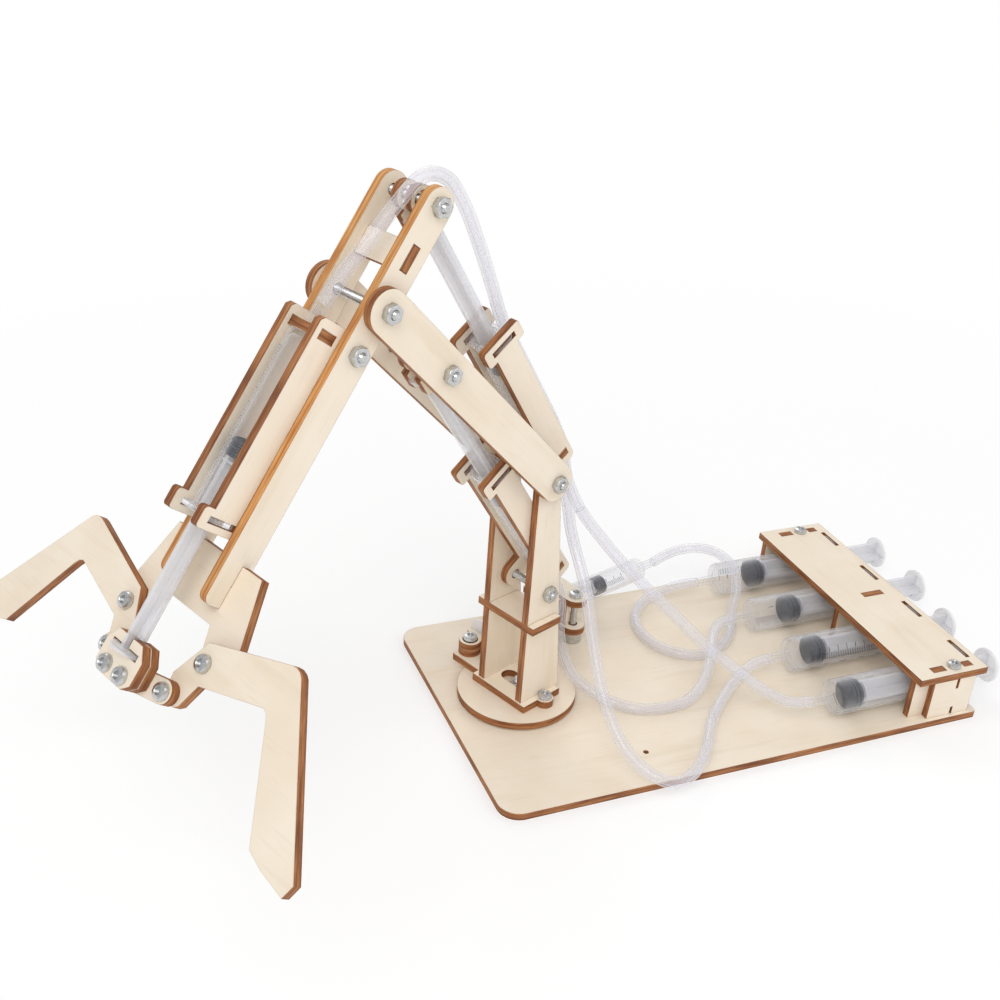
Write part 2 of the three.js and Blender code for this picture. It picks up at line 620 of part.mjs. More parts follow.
function addForearm() {
  add(forearm, "forearm_plate_near", forearmPlate(FOREARM.y0), looks.ply);
  add(forearm, "forearm_plate_far", forearmPlate(-FOREARM.y0 - PLY), looks.ply);
  add(forearm, "forearm_cross_plate", forearmCrossPlate(), looks.ply);
  const half = FOREARM.y0 + PLY;
  add(forearm, "forearm_rear_bolt", boltAcross(half), looks.steel);
  add(forearm, "gripper_cylinder_bolt", boltAcross(half).translate(FOREARM.sideBolt, 0, 0), looks.steel);
  add(forearm, "palm_plate", palm(), looks.ply);
  add(forearm, "finger_near", finger(1), looks.ply);
  add(forearm, "finger_far", finger(-1), looks.ply);
  add(forearm, "link_near", link(1), looks.ply);
  add(forearm, "link_far", link(-1), looks.ply);
  add(forearm, "crosshead_rear_plate", rearCrosshead(), looks.ply);
  add(forearm, "crosshead_front_plate", frontCrosshead(), looks.ply);
  const cylinder = frameAt(forearm, FOREARM.sideBolt, 0, 0);
  addSlave(cylinder, "gripper", { ear: 0, stopper: 36.5, thumb: THUMB_SLOT.x + 0.2 - FOREARM.sideBolt });
}

// The cylinder turns on `from` and its axis, AXIS_OFFSET to the left, runs through `to`.
function aim(from, to) {
  const reach = Math.hypot(to.x - from.x, to.z - from.z);
  const turn = Math.atan2(to.z - from.z, to.x - from.x) - Math.asin(AXIS_OFFSET / reach);
  return { turn, pinX: Math.sqrt(reach ** 2 - AXIS_OFFSET ** 2) };
}

function addArmCylinders() {
  const sideLayers = [-1.5 - PLY, 1.5];
  const midPin = {
    x: SHOULDER.x + BOOM.midPin * Math.cos(boomTurn),
    z: SHOULDER.z + BOOM.midPin * Math.sin(boomTurn),
  };
  const lower = aim(LOWER_PIN, midPin);
  const lowerFrame = frameAt(arm, LOWER_PIN.x, 0, LOWER_PIN.z, -lower.turn);
  addSlave(lowerFrame, "shoulder", { ear: 0, stopper: 41, pinX: lower.pinX, layers: sideLayers });
  const upper = aim(SHOULDER, rearPin);
  const upperFrame = frameAt(arm, SHOULDER.x, 0, SHOULDER.z, -upper.turn);
  addSlave(upperFrame, "elbow", { ear: 0, stopper: 44, pinX: upper.pinX, layers: sideLayers });
  const post = { x: SWIVEL_POST.x, z: -SWIVEL_POST.y };
  const level0 = aim(post, { x: LEVER_PIN.x, z: -LEVER_PIN.y });
  const heading = frameAt(arm, SWIVEL_POST.x, SWIVEL_POST.y, SWIVEL_POST.axisZ);
  heading.rotation.z = -level0.turn;
  const onSide = frameAt(heading, 0, 0, 0);
  onSide.rotation.x = Math.PI / 2;
  const leverLayers = [-6.1, -3.1];
  addSlave(onSide, "swivel", {
    ear: SWIVEL_POST.ear,
    stopper: 24.5,
    pinX: level0.pinX,
    layers: leverLayers,
  });
}

// Tubes: each route runs from its slave's nozzle to its master's, cut into pieces where it
// passes from one moving part to the next. onArm gives forward, height and near-side offsets.

function onArm(forward, height, near = 0) {
  const turn = radians(TURNTABLE.turn);
  const x = TURNTABLE.x + forward * Math.cos(turn) - near * Math.sin(turn);
  const y = TURNTABLE.y + forward * Math.sin(turn) + near * Math.cos(turn);
  return [x, y, PLY + height];
}

const masterEnd = (index) => [MASTER.shoulder - 9 - GAP, slotYs[index], MASTER.axisZ];

const ROUTES = {
  gripper: {
    points: [
      onArm(93.3, 179.4), onArm(87, 187.5, 1), onArm(80, 196, 3), onArm(71.5, 205.8, 4.6),
      onArm(62, 212.5, 5), onArm(53.5, 210.5, 5), onArm(46, 202, 4.5), onArm(38, 188.5, 3.5),
      onArm(29.5, 173.5, 1.5), onArm(22, 159.3), onArm(13, 145.6), onArm(4, 132),
      onArm(-6.5, 116), onArm(-14.5, 102.5, -1), [-53.2, 13.2, 90], [-48.5, 10, 79],
      [-40, 3, 67], [-33, -2, 58.5], [-24, -8, 49], [-15, -15, 40], [-6, -22, 31],
      [5, -29, 22], [15, -36.5, 15], [23.5, -42, 12], masterEnd(3),
    ],
    cuts: { upper: 12, shoulder: 15, lower: 24 },
  },
  elbow: {
    points: [
      onArm(-8.05, 99.7), onArm(-12.2, 92.8), onArm(-14.5, 84, 3), [-54.5, 4, 74], [-53, -9, 57],
      [-54, -21, 42], [-55, -35, 27.5], [-53, -50, 16], [-48, -60.5, 11], [-40, -66, 8.5],
      [-30, -62.5, 7.5], [-18, -51, 6.6], [-7, -36, 6], [5, -24.5, 6.2], [15, -17.5, 8],
      [24, -14.3, 10.6], masterEnd(2),
    ],
    cuts: { upper: 4, lower: 16 },
  },
  shoulder: {
    points: [
      onArm(-12.25, 51.8), onArm(-16.5, 45.5), onArm(-19, 36, 1.5), [-53.5, 7.5, 28], [-52.5, 4, 19],
      [-49.5, -1, 11], [-44, -7.5, 7], [-38, -15, 5.7], [-31, -20.5, 5.4], [-22, -23, 5.4],
      [-11, -22.5, 5.6], [-2, -18, 7.5], [7, -8.5, 10], [14, 2, 11.6], [19.5, 9.5, 11.8],
      [25, 14.2, 11.6], masterEnd(1),
    ],
    cuts: { whole: 16 },
  },
  swivel: {
    points: [
      [16.3, 59.5, 16.1], [24, 61.6, 17.5], [32, 61, 19.5], [39, 56, 21.5], [43, 47, 22.5],
      [43.5, 37, 21], [42, 30.5, 15], [38, 25.5, 9], [34, 19, 6], [28.5, 12, 5.4], [20, 6, 5.4],
      [10, 4, 5.4], [2, 8, 5.4], [-4, 16, 5.4], [-5.5, 27, 5.4], [-2, 38, 5.5], [6, 45.5, 6.5],
      [15, 47.5, 8.5], [23.5, 46.6, 10.8], masterEnd(0),
    ],
    cuts: { whole: 19 },
  },
};

function tubePiece(curve, t0, t1) {
  const fine = 40;
  const samples = [];
  for (let i = 0; i <= fine; i++) samples.push(curve.getPoint(t0 + ((t1 - t0) * i) / fine));
  const trim = (end, next) => end.add(next.clone().sub(end).setLength(GAP / 2));
  trim(samples[0], samples[1]);
  trim(samples[fine], samples[fine - 1]);
  const extrudePath = new THREE.CatmullRomCurve3(samples);
  const steps = Math.max(2, Math.round(extrudePath.getLength() / TUBE.step));
  const ring = new THREE.EllipseCurve(0, 0, TUBE.radius, TUBE.radius).getPoints(TUBE.sides).slice(0, -1);
  return new THREE.ExtrudeGeometry(new THREE.Shape(ring), { steps, extrudePath });
}

function addTubes() {
  for (const [name, { points, cuts }] of Object.entries(ROUTES)) {
    const curve = new THREE.CatmullRomCurve3(points.map((point) => new THREE.Vector3(...point)));
    const last = points.length - 1;
    let start = 0;
    for (const [piece, end] of Object.entries(cuts)) {
      const label = piece === "whole" ? `${name}_tube` : `${name}_tube_${piece}`;
      add(kit, label, tubePiece(curve, start / last, end / last), looks.tube);
      start = end;
    }
  }
}

add(kit, "base_board", join(baseBoard(), ...basePosts()), looks.ply);
addRack();
addMasters();
addTower();
addBoom();
addForearm();
addArmCylinders();
addTubes();

export default kit;
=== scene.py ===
# Desktop hydraulic arm kit: plywood arm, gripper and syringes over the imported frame.
import math

import bmesh
import bpy
from mathutils import Matrix, Vector


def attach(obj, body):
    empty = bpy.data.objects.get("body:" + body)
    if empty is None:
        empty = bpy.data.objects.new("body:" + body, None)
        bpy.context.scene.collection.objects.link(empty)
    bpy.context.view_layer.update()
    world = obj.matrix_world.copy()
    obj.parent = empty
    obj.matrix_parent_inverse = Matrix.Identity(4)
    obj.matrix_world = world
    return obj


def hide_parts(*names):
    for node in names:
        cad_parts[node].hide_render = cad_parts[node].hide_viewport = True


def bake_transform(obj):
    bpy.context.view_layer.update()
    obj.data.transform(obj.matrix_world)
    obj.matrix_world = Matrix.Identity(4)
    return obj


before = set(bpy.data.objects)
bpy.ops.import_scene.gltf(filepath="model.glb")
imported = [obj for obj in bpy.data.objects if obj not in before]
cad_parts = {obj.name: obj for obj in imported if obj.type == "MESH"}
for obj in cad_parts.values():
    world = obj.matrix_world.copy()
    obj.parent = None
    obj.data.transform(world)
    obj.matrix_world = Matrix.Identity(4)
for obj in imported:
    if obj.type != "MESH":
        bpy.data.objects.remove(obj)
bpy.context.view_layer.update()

MM = 0.001

# Sheet and hardware, in millimetres
PLY = 3.0
HOLE = 1.8
LOOSE_EYE = 3.0
NUT_ACROSS, NUT_HEIGHT = 5.5, 2.4
HEAD_RADIUS, HEAD_HEIGHT, SOCKET = 2.75, 1.9, 1.2
THREAD_CREST, THREAD_ROOT, THREAD_PITCH = 1.45, 1.2, 0.5
BEVEL = 0.14
SHARP, TUBE_SHARP = 35.0, 50.0

# Base, rack and master syringes
BASE_X, BASE_Y = 101.0, 59.0
BASE_CORNERS = (8.0, 1.5)
RACK_Y, RACK_PITCH, RACK_TOP, RACK_SCREW_X = 1.1, 29.7, 22.9, 89.0
MASTER_YS = [RACK_Y + k * RACK_PITCH for k in (1.5, 0.5, -0.5, -1.5)]
RACK_HALF = 58.5
CORNER_HOLE = (-38.0, -42.1)
FLANGE_SLOT = (97.9, 99.7, 12.0)
MASTER_Z, MASTER_SHOULDER, MASTER_FLANGE = 11.45, 41.0, 98.05
MASTER_STOPS = {"swivel": 57.8, "shoulder": 57.3, "elbow": 50.0, "gripper": 47.3}
MASTER_ROD = 68.0
MASTER_RADII, MASTER_WINGS = (7.0, 6.2), (5.8, 11.3)
MASTER_RIB, MASTER_REST = 5.3, 7.0
SCALE_TURNS = {"swivel": 200.0, "shoulder": 150.0, "elbow": 22.0, "gripper": 170.0}

# Slave cylinders, along the syringe from the tail slot
OFFSET = 9.8
SLAVE_SHOULDER, SLAVE_FLANGE = 1.8, 58.1
SLAVE_RADII, SLAVE_WINGS = (4.9, 4.1), (8.4, 5.1)
SLAVE_RIB, SLAVE_REST = 3.4, 6.0
GRIPPER_THUMB = 149.3
CLAMP_REACH = 6.5
EAR = 4.9
CHEEK_GAP = 5.2

# Parts that every syringe has
NOZZLE_LENGTH, NOZZLE_BORE = 9.0, 0.9
FLANGE_THICK = 1.4
STOPPER_LENGTH, STOPPER_EASE = 4.9, 0.15
RIB_HALF, RIB_OVERLAP, WIDE_RIB_SETBACK = 0.8, 0.7, 3.9
SCALE_START, INK_LIFT, MARK_HALF = 6.0, 0.04, 0.16

# Arm
TURNTABLE = (-71.0, 4.3, 202.2)
SHOULDER = (4.3, 100.6)
LOWER_PIN = (0.1, 52.6)
BOOM_LENGTH, BOOM_ANGLE, MID_PIN, BOOM_HALF = 110.2, 45.4, 75.7, 14.8
ELBOW_AT, FOREARM_ANGLE, SIDE_BOLT = 32.85, -52.8, 47.5
TOWER_HALF = 11.5
SWIVEL_POST, SWIVEL_Z, SWIVEL_EAR = (-44.6, -12.4), 13.1, 49.0
LEVER_PIN = (1.5, -25.5)
FINGER_PIN, LINK_PIN, CROSS_PIN = (141.8, 20.2), (154.2, 14.5), (156.3, 4.0)
LAYERS = {"palm": -4.2, "finger": -1.0, "link": 2.2, "rear": 5.4, "front": 8.7}
TURNTABLE_RADIUS = 23.0
TUBE_RADIUS, TUBE_BORE = 2.2, 1.3

# Camera and light, in metres, degrees and watts
CAMERA_PLACE = (-0.2483, -0.3676, 0.3121)
CAMERA_TURN, CAMERA_DIP, CAMERA_ROLL = -23.86, 28.53, 4.254
CAMERA_LENS, CAMERA_SENSOR = 47.18, 36.0
FLOOR_HALF, FLOOR_DROP = 6.0, 0.0002
WORLD_STRENGTH = 0.62
LAMPS = (
    ("key", (-0.5, -0.7, 1.0), (0, 0, 0.05), 0.9, 6.5),
    ("fill", (0.9, -0.6, 0.7), (0, 0, 0.05), 1.0, 2.2),
    ("back", (0.2, 1.0, 0.9), (0, 0, 0.1), 0.8, 3.0),
)


def make_camera():
    data = bpy.data.cameras.new("camera")
    data.lens, data.sensor_width = CAMERA_LENS, CAMERA_SENSOR
    camera = bpy.data.objects.new("camera", data)
    turn = Matrix.Rotation(math.radians(CAMERA_TURN), 4, "Z")
    tilt = Matrix.Rotation(math.radians(90 - CAMERA_DIP), 4, "X")
    roll = Matrix.Rotation(math.radians(CAMERA_ROLL), 4, "Z")
    camera.matrix_world = Matrix.Translation(CAMERA_PLACE) @ turn @ tilt @ roll
    bpy.context.scene.collection.objects.link(camera)
    bpy.context.scene.camera = camera


make_camera()


# Local frames: +x along the part, +z up out of it ------------------------------------

def rot(degrees, axis):
    return Matrix.Rotation(math.radians(degrees), 4, axis)


def shift(x, y, z):
    return Matrix.Translation((x, y, z))


def aim(start, end):
    dx, dz = end[0] - start[0], end[1] - start[1]
    reach = math.hypot(dx, dz)
    turn = math.degrees(math.atan2(dz, dx) - math.asin(OFFSET / reach))
    return turn, math.sqrt(reach * reach - OFFSET * OFFSET)


def polar(start, length, degrees):
    a = math.radians(degrees)
    return start[0] + length * math.cos(a), start[1] + length * math.sin(a)


ROW = Matrix.Identity(4)
ARM = shift(TURNTABLE[0], TURNTABLE[1], PLY) @ rot(TURNTABLE[2], "Z")
BOOM = ARM @ shift(SHOULDER[0], 0, SHOULDER[1]) @ rot(-BOOM_ANGLE, "Y")
ELBOW = polar(SHOULDER, BOOM_LENGTH, BOOM_ANGLE)
MID = polar(SHOULDER, MID_PIN, BOOM_ANGLE)
REAR = polar(ELBOW, -ELBOW_AT, FOREARM_ANGLE)
FOREARM = ARM @ shift(REAR[0], 0, REAR[1]) @ rot(-FOREARM_ANGLE, "Y")
LOWER_TURN, LOWER_REACH = aim(LOWER_PIN, MID)
UPPER_TURN, UPPER_REACH = aim(SHOULDER, REAR)
SWIVEL_TURN, SWIVEL_REACH = aim((SWIVEL_POST[0], -SWIVEL_POST[1]), (LEVER_PIN[0], -LEVER_PIN[1]))
LOWER = ARM @ shift(LOWER_PIN[0], 0, LOWER_PIN[1]) @ rot(-LOWER_TURN, "Y")
UPPER = ARM @ shift(SHOULDER[0], 0, SHOULDER[1]) @ rot(-UPPER_TURN, "Y")
SWIVEL = ARM @ shift(*SWIVEL_POST, SWIVEL_Z) @ rot(-SWIVEL_TURN, "Z") @ rot(90, "X")
HAND = FOREARM @ shift(SIDE_BOLT, 0, 0)


def direction(matrix, axis):
    return (matrix.to_3x3() @ Vector(axis)).normalized()


# Materials ------------------------------------------------------------------------------

class Nodes:
    """A short way to add shader nodes and link them."""

    def __init__(self, name):
        self.material = bpy.data.materials.new(name)
        self.material.use_nodes = True
        self.tree = self.material.node_tree
        self.tree.nodes.clear()
        self.out = self.tree.nodes.new("ShaderNodeOutputMaterial")

    def add(self, kind, inputs=None, **settings):
        node = self.tree.nodes.new("ShaderNode" + kind)
        for key, value in settings.items():
            setattr(node, key, value)
        for key, value in (inputs or {}).items():
            if isinstance(value, bpy.types.NodeSocket):
                self.tree.links.new(value, node.inputs[key])
            else:
                node.inputs[key].default_value = value
        return node

    def math(self, operation, a, b=0.0, clamp=False):
        node = self.add("Math", {0: a, 1: b}, operation=operation, use_clamp=clamp)
        return node.outputs[0]

    def dot(self, vector, axis):
        node = self.add("VectorMath", {0: vector}, operation="DOT_PRODUCT")
        node.inputs[1].default_value = axis
        return node.outputs["Value"]

    def noise(self, vector, scale, detail=3.0, rough=0.5):
        inputs = {"Vector": vector, "Scale": scale, "Detail": detail, "Roughness": rough}
        return self.add("TexNoise", inputs).outputs["Fac"]

    def ramp(self, fac, low, high, a=0.0, b=1.0):
        inputs = {"Value": fac, "From Min": low, "From Max": high, "To Min": a, "To Max": b}
        return self.add("MapRange", inputs).outputs["Result"]

    def mix(self, fac, a, b, blend="MIX"):
        node = self.add("Mix", data_type="RGBA", blend_type=blend, clamp_factor=True)
        for index, value in ((0, fac), (6, a), (7, b)):
            if isinstance(value, bpy.types.NodeSocket):
                self.tree.links.new(value, node.inputs[index])
            else:
                node.inputs[index].default_value = value
        return node.outputs[2]

    def finish(self, shader):
        self.tree.links.new(shader.outputs[0], self.out.inputs["Surface"])
        return self.material


def srgb(r, g, b):
    linear = [(c / 255 / 12.92) if c < 10 else ((c / 255 + 0.055) / 1.055) ** 2.4 for c in (r, g, b)]
    return (*linear, 1.0)


PALE = srgb(238, 226, 208)
WARM = srgb(231, 215, 192)
GRAIN = srgb(216, 196, 168)
SCORCH = srgb(122, 72, 42)
AMBER = srgb(186, 126, 78)
CHAR = srgb(84, 50, 30)
PALE_SCORCH = srgb(184, 120, 66)
PALE_AMBER = srgb(222, 168, 106)


def make_plywood(name, grain, normal, warmth=0.5, scorch=SCORCH, amber=AMBER):
    """Birch ply: straight faint grain on the faces, laser-scorched brown edges."""
    n = Nodes(name)
    coord = n.add("TexCoord")
    place = coord.outputs["Object"]
    across = Vector(normal).cross(Vector(grain)).normalized()
    along = n.math("MULTIPLY", n.dot(place, tuple(grain)), 60.0)
    side = n.math("MULTIPLY", n.dot(place, tuple(across)), 1100.0)
    depth = n.math("MULTIPLY", n.dot(place, tuple(normal)), 1400.0)
    fibres = n.add("CombineXYZ", {"X": along, "Y": side, "Z": depth}).outputs[0]
    fine = n.noise(fibres, 1.0, 4.0, 0.65)
    bands = n.add("CombineXYZ", {
        "X": n.math("MULTIPLY", along, 0.3), "Y": n.math("MULTIPLY", side, 0.12), "Z": 0.0,
    }).outputs[0]
    broad = n.noise(bands, 1.0, 2.0, 0.5)
    cloud = n.noise(place, 45.0, 2.0)
    face = n.mix(n.ramp(cloud, 0.35, 0.65, 0.0, warmth), PALE, WARM)
    face = n.mix(n.ramp(broad, 0.55, 0.8, 0.0, 0.45), face, GRAIN)
    face = n.mix(n.ramp(fine, 0.55, 0.8, 0.0, 0.4), face, GRAIN)
    # Scorched edge: darker and redder in patches, with fine lines where the layers meet.
    flat = n.math("ABSOLUTE", n.dot(coord.outputs["Normal"], tuple(normal)))
    is_edge = n.ramp(flat, 0.75, 0.45)
    streaks = n.add("CombineXYZ", {
        "X": n.math("MULTIPLY", along, 1.2), "Y": n.math("MULTIPLY", n.dot(place, tuple(across)), 90.0),
        "Z": n.math("MULTIPLY", depth, 0.6),
    }).outputs[0]
    patches = n.noise(streaks, 1.0, 3.0, 0.6)
    layers = n.math("SINE", n.math("MULTIPLY", n.dot(place, tuple(normal)), 4200.0))
    edge = n.mix(n.ramp(patches, 0.35, 0.7), scorch, amber)
    edge = n.mix(n.ramp(layers, 0.3, 1.0, 0.0, 0.35), edge, CHAR)
    # A thin burnt line runs round the rim of each face.
    round_edge = n.add("Bevel", {"Radius": 0.00028}, samples=4)
    true = n.add("NewGeometry").outputs["True Normal"]
    turned = n.add("VectorMath", {0: round_edge.outputs[0], 1: true}, operation="DOT_PRODUCT")
    rim = n.ramp(turned.outputs["Value"], 0.995, 0.85, 0.0, 0.75)
    face = n.mix(rim, face, SCORCH)
    color = n.mix(is_edge, face, edge)
    rough = n.ramp(fine, 0.3, 0.8, 0.55, 0.78)
    bump = n.add("Bump", {
        "Height": fine, "Strength": 0.12, "Distance": 0.0002, "Normal": round_edge.outputs[0],
    })
    shader = n.add("BsdfPrincipled", {
        "Base Color": color, "Roughness": rough, "Normal": bump.outputs[0], "Specular IOR Level": 0.3,
    })
    return n.finish(shader)


def make_steel():
    """Zinc-plated steel with fine turning marks."""
    n = Nodes("zinc_steel")
    place = n.add("TexCoord").outputs["Object"]
    marks = n.noise(place, 2600.0, 3.0, 0.6)
    color = n.mix(n.ramp(marks, 0.3, 0.7), srgb(176, 178, 180), srgb(222, 222, 220))
    rough = n.ramp(n.noise(place, 900.0), 0.3, 0.7, 0.22, 0.42)
    bump = n.add("Bump", {"Height": marks, "Strength": 0.15, "Distance": 0.00005})
    shader = n.add("BsdfPrincipled", {
        "Base Color": color, "Metallic": 1.0, "Roughness": rough, "Normal": bump.outputs[0],
    })
    return n.finish(shader)


def make_clear(name, tint, body, rim, rough, waves):
    """Thin see-through plastic: mostly open when seen face on, whiter and glossier at a glance."""
    n = Nodes(name)
    place = n.add("TexCoord").outputs["Object"]
    ripple = n.noise(place, waves, 2.0)
    bump = n.add("Bump", {"Height": ripple, "Strength": 0.25, "Distance": 0.0003}).outputs[0]
    facing = n.add("LayerWeight", {"Blend": 0.5, "Normal": bump}).outputs["Facing"]
    haze = n.noise(place, waves * 0.5, 2.0)
    amount = n.math("POWER", facing, 2.2)
    amount = n.ramp(amount, 0.0, 1.0, body, rim)
    amount = n.math("MULTIPLY", amount, n.ramp(haze, 0.3, 0.7, 0.8, 1.15), clamp=True)
    open_part = n.add("BsdfTransparent", {"Color": tint})
    solid = n.add("BsdfPrincipled", {
        "Base Color": srgb(240, 240, 243), "Roughness": rough, "Normal": bump, "Coat Weight": 0.6,
        "Coat Roughness": 0.08, "Specular IOR Level": 0.8, "Subsurface Weight": 0.0,
    })
    return n.finish(n.add("MixShader", {0: amount, 1: open_part.outputs[0], 2: solid.outputs[0]}))


def make_rubber():
    """Dark blue-grey stopper rubber with a soft satin bloom."""
    n = Nodes("stopper_rubber")
    place = n.add("TexCoord").outputs["Object"]
    bloom = n.noise(place, 500.0, 3.0)
    color = n.mix(n.ramp(bloom, 0.3, 0.7), srgb(34, 38, 45), srgb(58, 63, 72))
    bump = n.add("Bump", {"Height": bloom, "Strength": 0.1, "Distance": 0.0001})
    shader = n.add("BsdfPrincipled", {"Base Color": color, "Roughness": 0.45, "Normal": bump.outputs[0]})
    return n.finish(shader)


def make_ink():
    n = Nodes("scale_ink")
    place = n.add("TexCoord").outputs["Object"]
    wear = n.ramp(n.noise(place, 2500.0, 2.0), 0.35, 0.6, 0.55, 1.0)
    ink = n.add("BsdfPrincipled", {"Base Color": srgb(46, 50, 60), "Roughness": 0.5})
    open_part = n.add("BsdfTransparent")
    return n.finish(n.add("MixShader", {0: wear, 1: open_part.outputs[0], 2: ink.outputs[0]}))


def make_floor():
    n = Nodes("studio_floor")
    place = n.add("TexCoord").outputs["Object"]
    soft = n.noise(place, 3.0, 2.0)
    color = n.mix(n.ramp(soft, 0.3, 0.7), srgb(250, 250, 250), srgb(253, 253, 253))
    paper = n.add("BsdfPrincipled", {"Base Color": color, "Roughness": 0.9, "Specular IOR Level": 0.1})
    sweep = n.add("Emission", {"Color": (1.0, 1.0, 1.0, 1.0), "Strength": 1.0})
    distance = n.add("VectorMath", {0: place}, operation="LENGTH").outputs["Value"]
    fade = n.ramp(distance, 0.15, 0.55, 0.45, 1.0)
    return n.finish(n.add("MixShader", {0: fade, 1: paper.outputs[0], 2: sweep.outputs[0]}))


STEEL = make_steel()
BARREL = make_clear("syringe_barrel", (0.975, 0.975, 0.98, 1.0), 0.035, 0.8, 0.25, 60.0)
ROD = make_clear("plunger_plastic", (0.965, 0.965, 0.97, 1.0), 0.4, 0.95, 0.3, 80.0)
TUBING = make_clear("clear_tubing", (0.975, 0.972, 0.985, 1.0), 0.15, 0.95, 0.1, 40.0)
RUBBER = make_rubber()
INK = make_ink()
LOCAL_PLY = make_plywood("plywood", (1, 0, 0), (0, 0, 1))
LOCAL_PLY_CROSS = make_plywood("plywood_cross_grain", (0, 1, 0), (0, 0, 1), 0.7)


# Shapes ------------------------------------------------------------------------------------

def in_metres(mesh, matrix):
    """Puts a mesh made in millimetres at its place in metres, its object unscaled."""
    mesh.transform(Matrix.Scale(MM, 4))
    place = matrix.copy()
    place.translation = place.translation * MM
    return place


def finish_mesh(name, bm, sharp=None):
    """Mesh from a bmesh, shaded smooth but for the edges that turn by more than sharp degrees."""
    mesh = bpy.data.meshes.new(name)
    bm.to_mesh(mesh)
    bm.free()
    if sharp is not None:
        for polygon in mesh.polygons:
            polygon.use_smooth = True
        mesh.set_sharp_from_angle(angle=math.radians(sharp))
    return mesh


def add_mesh(name, mesh, matrix, body, material, replaces=None):
    place = in_metres(mesh, matrix)
    obj = bpy.data.objects.new(name, mesh)
    bpy.context.scene.collection.objects.link(obj)
    obj.matrix_world = place
    obj.data.materials.append(material)
    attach(obj, body)
    if replaces:
        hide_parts(replaces)
    return obj


def arc(x, y, radius, start, end, steps=10):
    angles = [math.radians(start + (end - start) * i / steps) for i in range(steps + 1)]
    return [(x + radius * math.cos(a), y + radius * math.sin(a)) for a in angles]


def circle(x, y, radius, steps=24):
    return arc(x, y, radius, 0, 360, steps)[:-1]


def rect(x0, x1, y0, y1):
    return [(x0, y0), (x1, y0), (x1, y1), (x0, y1)]


def sheet_mesh(name, outlines, thickness, bevel=BEVEL):
    """Flat sheet from an outline and its holes, z from 0 to its thickness, with eased edges."""
    curve = bpy.data.curves.new(name, "CURVE")
    curve.dimensions, curve.fill_mode = "2D", "BOTH"
    curve.extrude = thickness / 2 - bevel
    curve.bevel_depth, curve.bevel_resolution, curve.offset = bevel, 1, -bevel
    for points in outlines:
        spline = curve.splines.new("POLY")
        spline.points.add(len(points) - 1)
        for point, (x, y) in zip(spline.points, points):
            point.co = (x, y, 0, 1)
        spline.use_cyclic_u = True
    holder = bpy.data.objects.new(name, curve)
    mesh = bpy.data.meshes.new_from_object(holder)
    bpy.data.objects.remove(holder)
    bpy.data.curves.remove(curve)
    mesh.transform(Matrix.Translation((0, 0, thickness / 2)))
    mesh.name = name
    return mesh


def level(name, outlines, z0, base, body, material=None, replaces=None):
    """Outline in x, y; the sheet runs from z0 upwards."""
    mesh = sheet_mesh(name, outlines, PLY)
    place = base @ shift(0, 0, z0)
    return add_mesh(name, mesh, place, body, material or LOCAL_PLY, replaces)


def upright(name, outlines, y0, base, body, replaces=None):
    """Outline in x, z; the sheet runs from y0 towards +y."""
    mesh = sheet_mesh(name, outlines, PLY)
    place = base @ shift(0, y0 + PLY, 0) @ rot(90, "X")
    return add_mesh(name, mesh, place, body, LOCAL_PLY, replaces)


def across(name, outlines, x0, base, body):
    """Outline in y, z; the sheet runs from x0 towards +x."""
    mesh = sheet_mesh(name, outlines, PLY)
    place = base @ shift(x0, 0, 0) @ rot(90, "Z") @ rot(90, "X")
    return add_mesh(name, mesh, place, body, LOCAL_PLY_CROSS)


def lathe(name, profile, segments=48):
    """Round mesh about X from (radius, x) pairs, open or closed on itself."""
    bm = bmesh.new()
    rings = []
    for radius, x in profile:
        if radius < 1e-6:
            rings.append([bm.verts.new((x, 0, 0))])
            continue
        ring = []
        for i in range(segments):
            a = 2 * math.pi * i / segments
            ring.append(bm.verts.new((x, radius * math.cos(a), radius * math.sin(a))))
        rings.append(ring)
    for first, second in zip(rings, rings[1:]):
        for i in range(segments):
            j = (i + 1) % segments
            spots = ((first, i), (first, j), (second, j), (second, i))
            corners = [ring[k % len(ring)] for ring, k in spots]
            unique = list(dict.fromkeys(corners))
            if len(unique) > 2:
                bm.faces.new(unique)
    bmesh.ops.recalc_face_normals(bm, faces=bm.faces)
    return finish_mesh(name, bm, SHARP)


def box_mesh(name, lows, highs, bevel=0.2):
    bm = bmesh.new()
    bmesh.ops.create_cube(bm, size=1.0)
    for vert in bm.verts:
        for k in range(3):
            vert.co[k] = lows[k] if vert.co[k] < 0 else highs[k]
    bmesh.ops.bevel(bm, geom=list(bm.edges), offset=bevel, segments=2, profile=0.5, affect="EDGES")
    return finish_mesh(name, bm, SHARP)


def merge(name, meshes):
    bm = bmesh.new()
    for mesh in meshes:
        bm.from_mesh(mesh)
        bpy.data.meshes.remove(mesh)
    return finish_mesh(name, bm)


# Fasteners -----------------------------------------------------------------------------------

def nut_mesh():
    """Hexagonal nut about X from 0 to its height, corners chamfered."""
    hexagon = arc(0, 0, NUT_ACROSS / math.sqrt(3), 30, 390, 6)[:-1]
    mesh = sheet_mesh("nut", [hexagon, circle(0, 0, THREAD_CREST, 20)], NUT_HEIGHT, 0.22)
    mesh.transform(rot(90, "Y"))
    return mesh


def screw_end_mesh(x0, x1):
    """Threaded shank about X with a chamfered end."""
    profile = [(0.0, x0)]
    x = x0
    while x < x1 - 0.8:
        profile += [(THREAD_CREST, x), (THREAD_ROOT, x + THREAD_PITCH / 2)]
        x += THREAD_PITCH
    profile += [(1.4, x1 - 0.6), (1.0, x1), (0.0, x1)]
    return lathe("thread", profile, 20)


